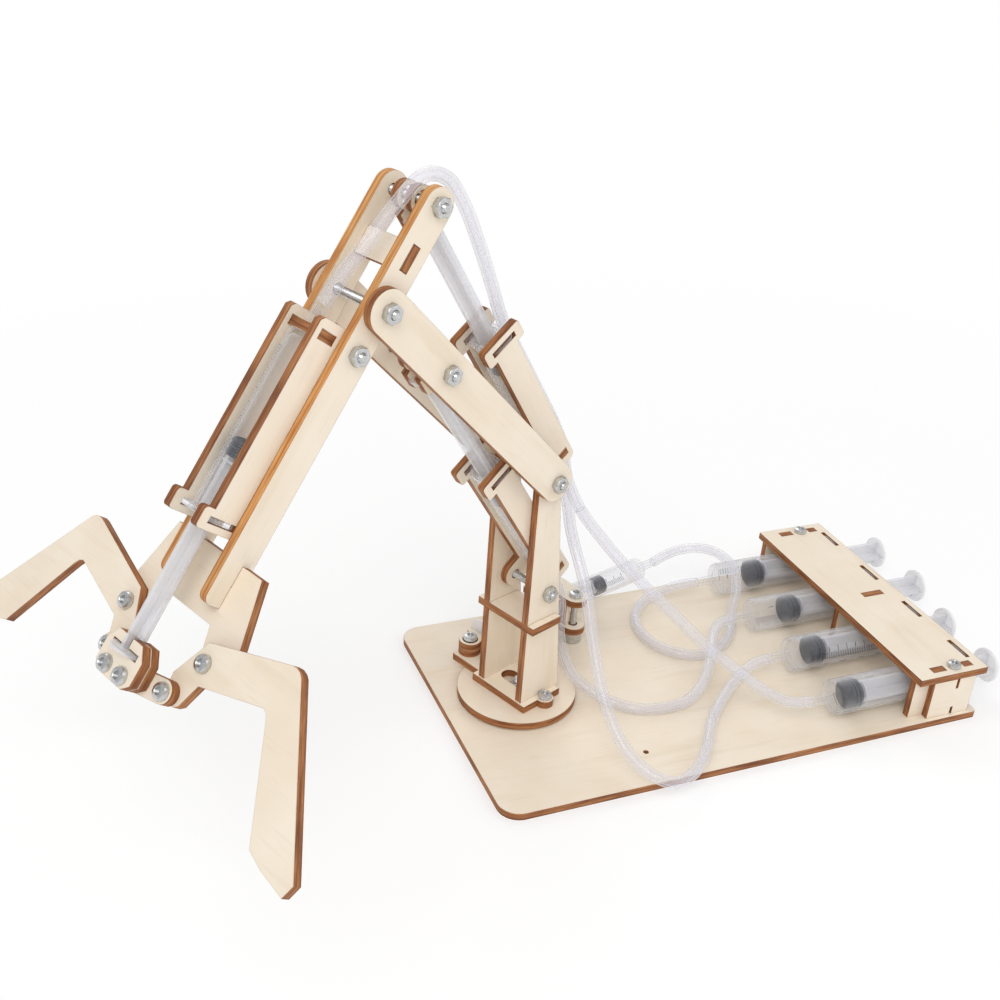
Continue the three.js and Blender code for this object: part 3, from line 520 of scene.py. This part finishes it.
def head_mesh():
    """Pan head about X from 0 to its height, with a round socket."""
    top = HEAD_HEIGHT
    dome = [(1.5, 0), (HEAD_RADIUS, 0), (HEAD_RADIUS, top * 0.45), (HEAD_RADIUS * 0.86, top * 0.85)]
    dome += [(SOCKET + 0.15, top), (SOCKET, top - 0.15), (SOCKET, top - 1.0), (0.0, top - 1.0)]
    return lathe("head", dome, 24)


def add_bolt(name, base, body, nut_end, head_end, axis_turn, replaces, centre):
    """Bolt about the local X that axis_turn makes: nut beyond nut_end, head beyond head_end."""
    nut = nut_mesh()
    nut.transform(shift(nut_end, 0, 0))
    head = head_mesh()
    head.transform(Matrix.Translation((head_end, 0, 0)) @ rot(180, "Z"))
    mesh = merge(name, [nut, head, screw_end_mesh(head_end + 0.3, nut_end + 3.3)])
    place = base @ shift(*centre) @ axis_turn
    return add_mesh(name, mesh, place, body, STEEL, replaces)


Y_AXIS = rot(90, "Z")
UP_AXIS = rot(-90, "Y")


def add_cross_bolts():
    gap = 0.1
    spots = (
        ("shoulder_bolt", ARM, "turntable", (SHOULDER[0], 0, SHOULDER[1]), BOOM_HALF),
        ("lower_cylinder_bolt", ARM, "turntable", (LOWER_PIN[0], 0, LOWER_PIN[1]), TOWER_HALF),
        ("boom_middle_bolt", BOOM, "boom", (MID_PIN, 0, 0), BOOM_HALF),
        ("elbow_bolt", BOOM, "boom", (BOOM_LENGTH, 0, 0), BOOM_HALF),
        ("forearm_rear_bolt", FOREARM, "forearm", (0, 0, 0), TOWER_HALF),
        ("gripper_cylinder_bolt", FOREARM, "forearm", (SIDE_BOLT, 0, 0), TOWER_HALF),
    )
    for node, base, body, centre, half in spots:
        add_bolt(node + "_fine", base, body, half + gap, -half - gap, Y_AXIS, node, centre)


def add_upright_screw(name, base, body, x, y, z, replaces=None, down=4.0):
    """Screw with its head on top at x, y, z and a plain shank down from it."""
    shank = lathe("shank", [(0, -down), (1.4, -down), (1.4, 0), (0, 0)], 16)
    mesh = merge(name, [head_mesh(), shank])
    place = base @ shift(x, y, z) @ UP_AXIS
    return add_mesh(name, mesh, place, body, STEEL, replaces)


# Syringes ----------------------------------------------------------------------------------------

def barrel_mesh(name, radii, shoulder, flange, wings):
    """Barrel about X: nozzle, hollow body and winged flange."""
    outer, inner = radii
    end = flange + FLANGE_THICK
    nozzle = shoulder - NOZZLE_LENGTH
    profile = [
        (NOZZLE_BORE, nozzle), (1.75, nozzle), (2.15, shoulder - 0.6), (outer - 1.2, shoulder - 0.4),
        (outer - 0.3, shoulder), (outer, shoulder + 0.8), (outer, end - 1.5), (outer + 0.5, end - 1.2),
        (outer + 0.5, end), (inner, end), (inner, shoulder + 2.2), (inner - 0.8, shoulder + 1.3),
        (NOZZLE_BORE, shoulder + 1.0), (NOZZLE_BORE, nozzle),
    ]
    body = lathe(name, profile)
    half_y, half_z = wings
    corner = min(wings) * 0.55
    spots = ((half_y, half_z, 0), (-half_y, half_z, 90), (-half_y, -half_z, 180), (half_y, -half_z, 270))
    outline = []
    for y, z, start in spots:
        centre = (y - math.copysign(corner, y), z - math.copysign(corner, z))
        outline += arc(*centre, corner, start, start + 90, 6)
    disc = sheet_mesh("flange", [outline, circle(0, 0, inner + 0.2, 32)], FLANGE_THICK, 0.3)
    disc.transform(shift(end - FLANGE_THICK, 0, 0) @ rot(90, "Z") @ rot(90, "X"))
    return merge(name, [body, disc])


def stopper_mesh(name, radius, x):
    """Rubber stopper with three sealing rings, its low cone ahead of x."""
    groove = radius * 0.88
    profile = [(0.0, x - 1.4), (radius * 0.6, x - 0.9), (radius * 0.9, x - 0.3), (radius, x)]
    for at in (x + 0.1, x + 1.7, x + 3.3):
        profile += [(radius, at + 0.1), (radius, at + 0.8), (groove, at + 0.95), (groove, at + 1.45)]
    profile += [(groove, x + 5.0), (0.0, x + 5.0)]
    return lathe(name, profile)


def rod_mesh(name, rib, rest, start, thumb, setback=-RIB_OVERLAP):
    """Plunger about X: crossed ribs, a collar behind the stopper and a round thumb rest."""
    collar = [(0, start + 1.2), (rib, start + 1.2), (rib, start + 2.0), (0, start + 2.0)]
    plate = [
        (0, thumb), (rest - 0.3, thumb), (rest, thumb + 0.3), (rest, thumb + 1.1),
        (rest - 0.3, thumb + 1.4), (rest - 1.6, thumb + 1.1), (0, thumb + 1.1),
    ]
    parts = [
        box_mesh("rib", (start, -RIB_HALF, -rib), (thumb + RIB_OVERLAP, RIB_HALF, rib)),
        box_mesh("rib", (start, -rib, -RIB_HALF), (thumb - setback, rib, RIB_HALF)),
        lathe("collar", collar),
        lathe("thumb", plate),
    ]
    return merge(name, parts)


def scale_mesh(name, radius, start, end, step, major):
    """Printed volume scale: short strokes round the barrel, longer at each whole mark."""
    bm = bmesh.new()
    count = int((end - start) / step)
    for i in range(count + 1):
        x = start + i * step
        span = 42 if i % major == 0 else 24
        previous = None
        for k in range(9):
            a = math.radians(-20 - span * k / 8)
            y, z = -radius * math.cos(a), -radius * math.sin(a)
            pair = [bm.verts.new((x + edge, y, z)) for edge in (-MARK_HALF, MARK_HALF)]
            if previous:
                bm.faces.new([previous[0], previous[1], pair[1], pair[0]])
            previous = pair
    return finish_mesh(name, bm)


def numeral_mesh(text, size, x, radius):
    """A digit wrapped on the barrel beside its mark."""
    curve = bpy.data.curves.new("numeral", "FONT")
    curve.body, curve.size, curve.align_x, curve.align_y = text, size, "CENTER", "CENTER"
    holder = bpy.data.objects.new("numeral", curve)
    mesh = bpy.data.meshes.new_from_object(holder)
    bpy.data.objects.remove(holder)
    for vert in mesh.vertices:
        angle = math.radians(-8) + vert.co.x / radius
        along = vert.co.y
        vert.co = (x + along, -radius * math.cos(angle), radius * math.sin(angle))
    return mesh


def add_masters():
    outer, inner = MASTER_RADII
    first_mark = MASTER_SHOULDER + SCALE_START
    for (name, stop), y in zip(MASTER_STOPS.items(), MASTER_YS):
        base = shift(0, y, MASTER_Z)
        body, rider = "base", f"master_{name}_rod"
        barrel = barrel_mesh("barrel", MASTER_RADII, MASTER_SHOULDER, MASTER_FLANGE, MASTER_WINGS)
        node = f"master_{name}_barrel"
        add_mesh(f"{name}_master_barrel", barrel, base, body, BARREL, node)
        ink = outer + INK_LIFT
        marks = [scale_mesh("marks", ink, first_mark, MASTER_SHOULDER + 50, 0.85, 5)]
        marks += [numeral_mesh(str(i), 3.6, first_mark + i * 8.5, ink) for i in range(1, 6)]
        face = base @ rot(SCALE_TURNS[name], "X")
        add_mesh(f"{name}_master_scale", merge("scale", marks), face, body, INK)
        seal = stopper_mesh("stopper", inner - STOPPER_EASE, stop)
        add_mesh(f"{name}_master_stopper", seal, base, rider, RUBBER)
        rod = rod_mesh("rod", MASTER_RIB, MASTER_REST, stop + STOPPER_LENGTH, stop + MASTER_ROD)
        node = f"master_{name}_plunger"
        add_mesh(f"{name}_master_rod", rod, base, rider, ROD, node)


def holder_outline(ear):
    """A cheek in x, z. With its ear halfway along, it starts at the ear."""
    low, high = OFFSET - 5, OFFSET + 5
    head_low, head_high = OFFSET - 8.5, OFFSET + 8.5
    if ear > EAR:
        points = [(ear - EAR + 1.2, high), (ear - EAR, high - 1.2)]
    else:
        points = [(-3.3, high), (-4.5, high - 1.2)]
    points += arc(ear, 0, EAR, 180, 360, 14)
    points += [(ear + EAR, low), (55.5, low)]
    points += arc(56.7, head_low + 1.2, 1.2, 180, 270, 4) + arc(60.8, head_low + 1.2, 1.2, 270, 360, 4)
    points += arc(60.8, head_high - 1.2, 1.2, 0, 90, 4) + arc(56.7, head_high - 1.2, 1.2, 90, 180, 4)
    return points + [(55.5, high)]


def add_holder(name, ear, place, body):
    """Two cheeks that grip the barrel's wings, and the cross piece between them."""
    halfway = ear > EAR
    slot = rect(57.8, 59.8, OFFSET - 5.3, OFFSET + 5.3)
    tab = rect(-1.55, 1.55, OFFSET - 3.05, OFFSET + 3.05)
    holes = [holder_outline(ear), circle(ear, 0, HOLE), slot] + ([] if halfway else [tab])
    upright(f"{name}_cheek_near", holes, CHEEK_GAP, place, body, f"{name}_holder")
    upright(f"{name}_cheek_far", holes, -CHEEK_GAP - PLY, place, body)
    if halfway:
        bar = box_mesh("bar", (ear + 1.9, -CHEEK_GAP, 0.6), (ear + 3.9, CHEEK_GAP, 4.0), 0.1)
        add_mesh(f"{name}_ear_bar", bar, place, body, LOCAL_PLY_CROSS)
    else:
        plate = rect(-8.2, 8.2, OFFSET - 3, OFFSET + 3)
        across(f"{name}_nozzle_plate", [plate, circle(0, OFFSET, 2.4)], -PLY / 2, place, body)


def add_clamp(name, centre, layers, body):
    """Two eyes that hold the thumb rest of the rod and turn on its pin."""
    back = -CLAMP_REACH - 3.4
    shape = [(back + 0.8, 5.4), (back, 4.6), (back, -4.6), (back + 0.8, -5.4), (-3, -5.4)]
    shape += arc(0, 0, 4.4, -125, 125, 16) + [(-3, 5.4)]
    for index, y0 in enumerate(layers):
        upright(f"{name}_clamp_{index + 1}", [shape, circle(0, 0, LOOSE_EYE)], y0, centre, body)


def add_slave(name, base, ear, stop, pin, layers, thumb=None):
    """Holder, barrel, rod and end clamp. base has its origin at the ear's pin."""
    place = base @ shift(-ear, 0, 0)
    cylinder, rider = f"{name}_cylinder", f"{name}_rod"
    if name == "gripper":
        cylinder, rider = "forearm", "hand"
    add_holder(name, ear, place, cylinder)
    axis = place @ shift(0, 0, OFFSET)
    outer, inner = SLAVE_RADII
    barrel = barrel_mesh("barrel", SLAVE_RADII, SLAVE_SHOULDER, SLAVE_FLANGE, SLAVE_WINGS)
    add_mesh(f"{name}_slave_barrel", barrel, axis, cylinder, BARREL, f"{name}_barrel")
    first_mark, last_mark = SLAVE_SHOULDER + SCALE_START, SLAVE_SHOULDER + 46
    marks = scale_mesh("marks", outer + INK_LIFT, first_mark, last_mark, 0.9, 5)
    add_mesh(f"{name}_slave_scale", marks, axis, cylinder, INK)
    seal = stopper_mesh("stopper", inner - STOPPER_EASE, stop)
    add_mesh(f"{name}_slave_stopper", seal, axis, rider, RUBBER)
    end = (thumb if pin is None else pin - CLAMP_REACH) + ear
    setback = -RIB_OVERLAP if pin else WIDE_RIB_SETBACK
    rod = rod_mesh("rod", SLAVE_RIB, SLAVE_REST, stop + STOPPER_LENGTH, end, setback)
    add_mesh(f"{name}_slave_rod", rod, axis, rider, ROD, f"{name}_plunger")
    if pin is not None:
        add_clamp(name, base @ shift(pin, 0, OFFSET), layers, rider)


def add_slaves():
    side = (-1.5 - PLY, 1.5)
    add_slave("shoulder", LOWER, 0, 41, LOWER_REACH, side)
    add_slave("elbow", UPPER, 0, 44, UPPER_REACH, side)
    add_slave("swivel", SWIVEL, SWIVEL_EAR, 24.5, SWIVEL_REACH, (-6.1, -3.1))
    add_slave("gripper", HAND, 0, 36.5, None, (), thumb=GRIPPER_THUMB - SIDE_BOLT)


# Plates that carry screws -----------------------------------------------------------------------

def flange_slots():
    x0, x1, length = FLANGE_SLOT
    return [rect(x0, x1, y - length / 2, y + length / 2) for y in MASTER_YS]


def add_base():
    left, right = BASE_CORNERS
    outline = arc(BASE_X - right, right - BASE_Y, right, 270, 360, 4)
    outline += arc(BASE_X - right, BASE_Y - right, right, 0, 90, 4)
    outline += arc(left - BASE_X, BASE_Y - left, left, 90, 180)
    outline += arc(left - BASE_X, left - BASE_Y, left, 180, 270)
    holes = [circle(*CORNER_HOLE, 1.0)] + flange_slots()
    level("base_board_fine", [outline] + holes, 0, ROW, "base", replaces="base_board")
    pivot = merge("pivot", [nut_mesh(), screw_end_mesh(-3.9, 4.1)])
    add_mesh("turntable_pivot_screw", pivot, ARM @ shift(0, 0, 4.3) @ UP_AXIS, "base", STEEL)
    post = ARM @ shift(*SWIVEL_POST, 0)
    profile = [(1.6, 0.05), (3.8, 0.05), (4.0, 0.25), (4.0, 4.4), (3.8, 4.6), (1.6, 4.6), (1.6, 0.05)]
    add_mesh("swivel_post_spacer", lathe("spacer", profile), post @ UP_AXIS, "base", STEEL)
    add_upright_screw("swivel_post_bolt", post, "base", 0, 0, SWIVEL_Z + 8.3, down=21.0)


def add_turntable():
    disc = [circle(0, 0, TURNTABLE_RADIUS, 96), circle(0, 0, HOLE)]
    level("turntable_disc_fine", disc, 1, ARM, "turntable", LOCAL_PLY_CROSS, "turntable_disc")
    washer = lathe("washer", [(1.8, 0.1), (7, 0.1), (7, 0.95), (1.8, 0.95), (1.8, 0.1)])
    add_mesh("turntable_washer", washer, ARM @ UP_AXIS, "turntable", STEEL)
    for label, side in (("near", 1), ("far", -1)):
        add_upright_screw(f"turntable_screw_{label}", ARM, "turntable", -0.5, side * 14.4, 7.1)
    add_upright_screw("lever_bolt_fine", ARM, "turntable", *LEVER_PIN, 13.2, "lever_bolt", 8.8)


def add_rack_screws():
    for label, side in (("near", -1), ("far", 1)):
        y = RACK_Y + side * (RACK_HALF - PLY * 1.5)
        spot, node = (RACK_SCREW_X, y, RACK_TOP + 0.05), f"rack_screw_{label}"
        add_upright_screw(f"{node}_fine", ROW, "base", *spot, node, 9.0)
        place = shift(RACK_SCREW_X, y, RACK_TOP - PLY - 5.2) @ UP_AXIS
        add_mesh(f"rack_nut_{label}", nut_mesh(), place, "base", STEEL)


def both_sides(points):
    return points + [(x, -y) for x, y in reversed(points)]


def add_palm():
    half = [
        (114.5, 8.4), (121.1, 8.4), (121.1, 11.6), (114.5, 11.6), (114.5, 20.8), (134.3, 26.6),
        (138.6, 25.8), (144, 25.4), (147.6, 21), (147, 16.4), (138.9, 13.1), (133.2, 11.3),
    ]
    outline = both_sides(half)
    level("palm_plate_fine", [outline], LAYERS["palm"], FOREARM, "forearm", LOCAL_PLY_CROSS, "palm_plate")


def add_finger(label, side):
    """One finger plate with its pivot screw and the screw of its link."""
    shape = [
        (136.2, 17.9), (127.2, 48.6), (127.0, 50.4), (127.5, 52.2), (128.4, 53.5), (170.2, 84), (174.6, 82.6),
        (173.2, 72.6), (171.2, 66), (143.4, 50), (141.6, 48.6), (140.9, 47), (147.7, 22.3), (155.5, 19.3),
        (156.8, 17.6), (157.2, 15.6), (156.6, 13.0), (155.2, 11.6), (149, 11),
    ]
    points = [(x, side * y) for x, y in shape]
    pivot, link = (FINGER_PIN[0], side * FINGER_PIN[1]), (LINK_PIN[0], side * LINK_PIN[1])
    body = f"finger_{label}"
    outlines = [points, circle(*pivot, HOLE)]
    level(f"{body}_fine", outlines, LAYERS["finger"], FOREARM, body, LOCAL_PLY_CROSS, body)
    add_upright_screw(f"finger_screw_{label}", FOREARM, "forearm", *pivot, 2.2, down=6.0)
    add_upright_screw(f"link_screw_{label}", FOREARM, body, *link, 5.3, down=6.5)


def add_crosshead_screw(label, side):
    """Screw with its head on the front plate and its nut below the rear plate."""
    top = LAYERS["front"] + PLY + 0.05
    screw = merge("screw", [head_mesh(), screw_end_mesh(-top + 0.2, 0.2)])
    nut = nut_mesh()
    nut.transform(shift(1.9 - NUT_HEIGHT - top, 0, 0))
    place = FOREARM @ shift(CROSS_PIN[0], side * CROSS_PIN[1], top) @ UP_AXIS
    mesh = merge("crosshead_screw", [screw, nut])
    add_mesh(f"crosshead_screw_{label}", mesh, place, "hand", STEEL)


def add_crosshead():
    outline = [
        (146, 1.2), (146, 6), (150, 9), (157, 9), (159.4, 6), (159.4, -6), (157, -9), (150, -9), (146, -6),
        (146, -1.2), (149.0, -1.2), (149.0, -6.3), (150.9, -6.3), (150.9, 6.3), (149.0, 6.3), (149.0, 1.2),
    ]
    outlines = [outline] + [circle(CROSS_PIN[0], side * CROSS_PIN[1], HOLE) for side in (-1, 1)]
    for label in ("rear", "front"):
        name, node = f"crosshead_{label}_fine", f"crosshead_{label}_plate"
        level(name, outlines, LAYERS[label], FOREARM, "hand", LOCAL_PLY_CROSS, node)


def add_hand():
    add_palm()
    for label, side in (("near", 1), ("far", -1)):
        add_finger(label, side)
        add_crosshead_screw(label, side)
    add_crosshead()


# Tubes: the same routes as the CAD solids, in millimetres of the row frame --------------------------

def on_arm(forward, height, near=0.0):
    return tuple(ARM @ Vector((forward, near, height)))


MASTER_END_X = MASTER_SHOULDER - NOZZLE_LENGTH - 0.3


def master_end(k):
    return (MASTER_END_X, RACK_Y + k * RACK_PITCH, MASTER_Z)


ROUTES = {
    "gripper": [
        on_arm(93.3, 179.4), on_arm(87, 187.5, 1), on_arm(80, 196, 3), on_arm(71.5, 205.8, 4.6),
        on_arm(62, 212.5, 5), on_arm(53.5, 210.5, 5), on_arm(46, 202, 4.5), on_arm(38, 188.5, 3.5),
        on_arm(29.5, 173.5, 1.5), on_arm(22, 159.3), on_arm(13, 145.6), on_arm(4, 132),
        on_arm(-6.5, 116), on_arm(-14.5, 102.5, -1), (-53.2, 13.2, 90), (-48.5, 10, 79),
        (-40, 3, 67), (-33, -2, 58.5), (-24, -8, 49), (-15, -15, 40), (-6, -22, 31),
        (5, -29, 22), (15, -36.5, 15), (23.5, -42, 12), master_end(-1.5),
    ],
    "elbow": [
        on_arm(-8.05, 99.7), on_arm(-12.2, 92.8), on_arm(-14.5, 84, 3), (-54.5, 4, 74), (-53, -9, 57),
        (-54, -21, 42), (-55, -35, 27.5), (-53, -50, 16), (-48, -60.5, 11), (-40, -66, 8.5),
        (-30, -62.5, 7.5), (-18, -51, 6.6), (-7, -36, 6), (5, -24.5, 6.2), (15, -17.5, 8),
        (24, -14.3, 10.6), master_end(-0.5),
    ],
    "shoulder": [
        on_arm(-12.25, 51.8), on_arm(-16.5, 45.5), on_arm(-19, 36, 1.5), (-53.5, 7.5, 28), (-52.5, 4, 19),
        (-49.5, -1, 11), (-44, -7.5, 7), (-38, -15, 5.7), (-31, -20.5, 5.4), (-22, -23, 5.4),
        (-11, -22.5, 5.6), (-2, -18, 7.5), (7, -8.5, 10), (14, 2, 11.6), (19.5, 9.5, 11.8),
        (25, 14.2, 11.6), master_end(0.5),
    ],
    "swivel": [
        (16.3, 59.5, 16.1), (24, 61.6, 17.5), (32, 61, 19.5), (39, 56, 21.5), (43, 47, 22.5),
        (43.5, 37, 21), (42, 30.5, 15), (38, 25.5, 9), (34, 19, 6), (28.5, 12, 5.4), (20, 6, 5.4),
        (10, 4, 5.4), (2, 8, 5.4), (-4, 16, 5.4), (-5.5, 27, 5.4), (-2, 38, 5.5), (6, 45.5, 6.5),
        (15, 47.5, 8.5), (23.5, 46.6, 10.8), master_end(1.5),
    ],
}
# Piece, route, first and last point, the bodies it joins, and where the bend between them starts and ends
TUBES = (
    ("gripper_tube_upper", "gripper", 0, 12, "forearm", "boom", 5, 9),
    ("gripper_tube_shoulder", "gripper", 12, 15, "boom", "turntable", 12, 15),
    ("gripper_tube_lower", "gripper", 15, 24, "turntable", "base", 15, 23),
    ("elbow_tube_upper", "elbow", 0, 4, "boom", "turntable", 0, 3),
    ("elbow_tube_lower", "elbow", 4, 16, "turntable", "base", 4, 9),
    ("shoulder_tube", "shoulder", 0, 16, "turntable", "base", 2, 8),
    ("swivel_tube", "swivel", 0, 19, "swivel_cylinder", "base", 0, 4),
)


def smooth(points, per_span=8):
    """Centripetal Catmull-Rom curve through the points, as span lists, like the CAD route."""
    knots = [Vector(p) for p in points]
    knots = [knots[0] * 2 - knots[1]] + knots + [knots[-1] * 2 - knots[-2]]
    spans = []
    for p0, p1, p2, p3 in zip(knots, knots[1:], knots[2:], knots[3:]):
        steps = [max((b - a).length, 1e-4) ** 0.5 for a, b in ((p0, p1), (p1, p2), (p2, p3))]
        t1 = (p1 - p0) / steps[0] - (p2 - p0) / (steps[0] + steps[1]) + (p2 - p1) / steps[1]
        t2 = (p2 - p1) / steps[1] - (p3 - p1) / (steps[1] + steps[2]) + (p3 - p2) / steps[2]
        t1, t2 = t1 * steps[1], t2 * steps[1]
        span = []
        for i in range(per_span + 1):
            t = i / per_span
            h = (2 * t**3 - 3 * t**2 + 1, t**3 - 2 * t**2 + t, -2 * t**3 + 3 * t**2, t**3 - t**2)
            span.append(p1 * h[0] + t1 * h[1] + p2 * h[2] + t2 * h[3])
        spans.append(span)
    return spans


def tube_mesh(name, path, outer, inner, sides=20):
    """Hollow tube along a path, with its section carried along without twisting."""
    bm = bmesh.new()
    tangents = []
    for i in range(len(path)):
        a, b = path[max(i - 1, 0)], path[min(i + 1, len(path) - 1)]
        tangents.append((b - a).normalized())
    side = tangents[0].orthogonal().normalized()
    rings = []
    for point, tangent in zip(path, tangents):
        side = (side - tangent * side.dot(tangent)).normalized()
        up = tangent.cross(side)
        ring = []
        for radius in (outer, inner):
            for k in range(sides):
                a = 2 * math.pi * k / sides
                ring.append(bm.verts.new(point + (side * math.cos(a) + up * math.sin(a)) * radius))
        rings.append(ring)
    for first, second in zip(rings, rings[1:]):
        for k in range(sides):
            j = (k + 1) % sides
            bm.faces.new([first[k], first[j], second[j], second[k]])
            bm.faces.new([first[sides + j], first[sides + k], second[sides + k], second[sides + j]])
    for ring, flip in ((rings[0], True), (rings[-1], False)):
        for k in range(sides):
            j = (k + 1) % sides
            corners = [ring[k], ring[j], ring[sides + j], ring[sides + k]]
            bm.faces.new(corners[::-1] if flip else corners)
    bmesh.ops.recalc_face_normals(bm, faces=bm.faces)
    return finish_mesh(name, bm, TUBE_SHARP)


def add_tubes():
    routes = {name: smooth(points) for name, points in ROUTES.items()}
    for node, name, first, last, body_a, body_b, start, end in TUBES:
        spans = routes[name][first:last]
        path = [p * MM for span in spans for p in span[:-1]] + [spans[-1][-1] * MM]
        mesh = tube_mesh(node + "_fine", path, TUBE_RADIUS * MM, TUBE_BORE * MM)
        obj = bpy.data.objects.new(node + "_fine", mesh)
        bpy.context.scene.collection.objects.link(obj)
        obj.data.materials.append(TUBING)
        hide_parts(node)
        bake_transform(obj)


# CAD plates that keep their shape --------------------------------------------------------------------

def finish_cad_plates():
    up, side = (0, 0, 1), (0, 1, 0)
    arm_side = direction(ARM, (0, 1, 0))
    hand_out = direction(FOREARM, (0, 0, 1))
    looks = {
        "rack_top": (side, up, ["rack_top_plate"]),
        "rack_wall": ((1, 0, 0), side, [
            "rack_wall_near_inner", "rack_wall_near_outer", "rack_wall_far_inner",
            "rack_wall_far_outer", "rack_middle_wall",
        ]),
        "tower": (up, arm_side, ["tower_plate_near", "tower_plate_far"]),
        "tower_level": (arm_side, up, ["tower_base_plate", "tower_middle_plate"]),
        "boom": (direction(BOOM, (1, 0, 0)), arm_side, ["boom_bar_near", "boom_bar_far"]),
        "forearm": (direction(FOREARM, (1, 0, 0)), arm_side, ["forearm_plate_near", "forearm_plate_far"]),
        "hand": (arm_side, hand_out, ["forearm_cross_plate", "link_near", "link_far"]),
    }
    for name, (grain, normal, nodes) in looks.items():
        burn = (PALE_SCORCH, PALE_AMBER) if name == "forearm" else (SCORCH, AMBER)
        material = make_plywood(f"plywood_{name}", Vector(grain), Vector(normal), 0.5, *burn)
        for node in nodes:
            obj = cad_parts[node]
            obj.data.materials.clear()
            obj.data.materials.append(material)


# Floor and light --------------------------------------------------------------------------------------

def add_area(name, place, target, size, power):
    data = bpy.data.lights.new(name, "AREA")
    data.shape, data.size, data.energy = "DISK", size, power
    lamp = bpy.data.objects.new(name, data)
    lamp.location = place
    lamp.rotation_mode = "QUATERNION"
    lamp.rotation_quaternion = (Vector(target) - Vector(place)).to_track_quat("-Z", "Y")
    bpy.context.scene.collection.objects.link(lamp)


def add_studio():
    mesh = bpy.data.meshes.new("floor")
    corners = [(x, y, 0) for x, y in rect(-FLOOR_HALF, FLOOR_HALF, -FLOOR_HALF, FLOOR_HALF)]
    mesh.from_pydata(corners, [], [(0, 1, 2, 3)])
    floor = bpy.data.objects.new("floor", mesh)
    floor.location.z = -FLOOR_DROP
    mesh.materials.append(make_floor())
    bpy.context.scene.collection.objects.link(floor)
    world = bpy.data.worlds.new("studio")
    world.use_nodes = True
    background = world.node_tree.nodes["Background"]
    background.inputs["Color"].default_value = (1.0, 1.0, 1.0, 1.0)
    background.inputs["Strength"].default_value = WORLD_STRENGTH
    bpy.context.scene.world = world
    for lamp in LAMPS:
        add_area(*lamp)
    scene = bpy.context.scene
    scene.view_settings.view_transform = "Standard"
    scene.view_settings.look = "None"
    scene.cycles.transparent_max_bounces = 24
    scene.cycles.max_bounces = 12


add_tubes()
add_base()
add_turntable()
add_rack_screws()
add_cross_bolts()
add_masters()
add_slaves()
add_hand()
finish_cad_plates()
add_studio()
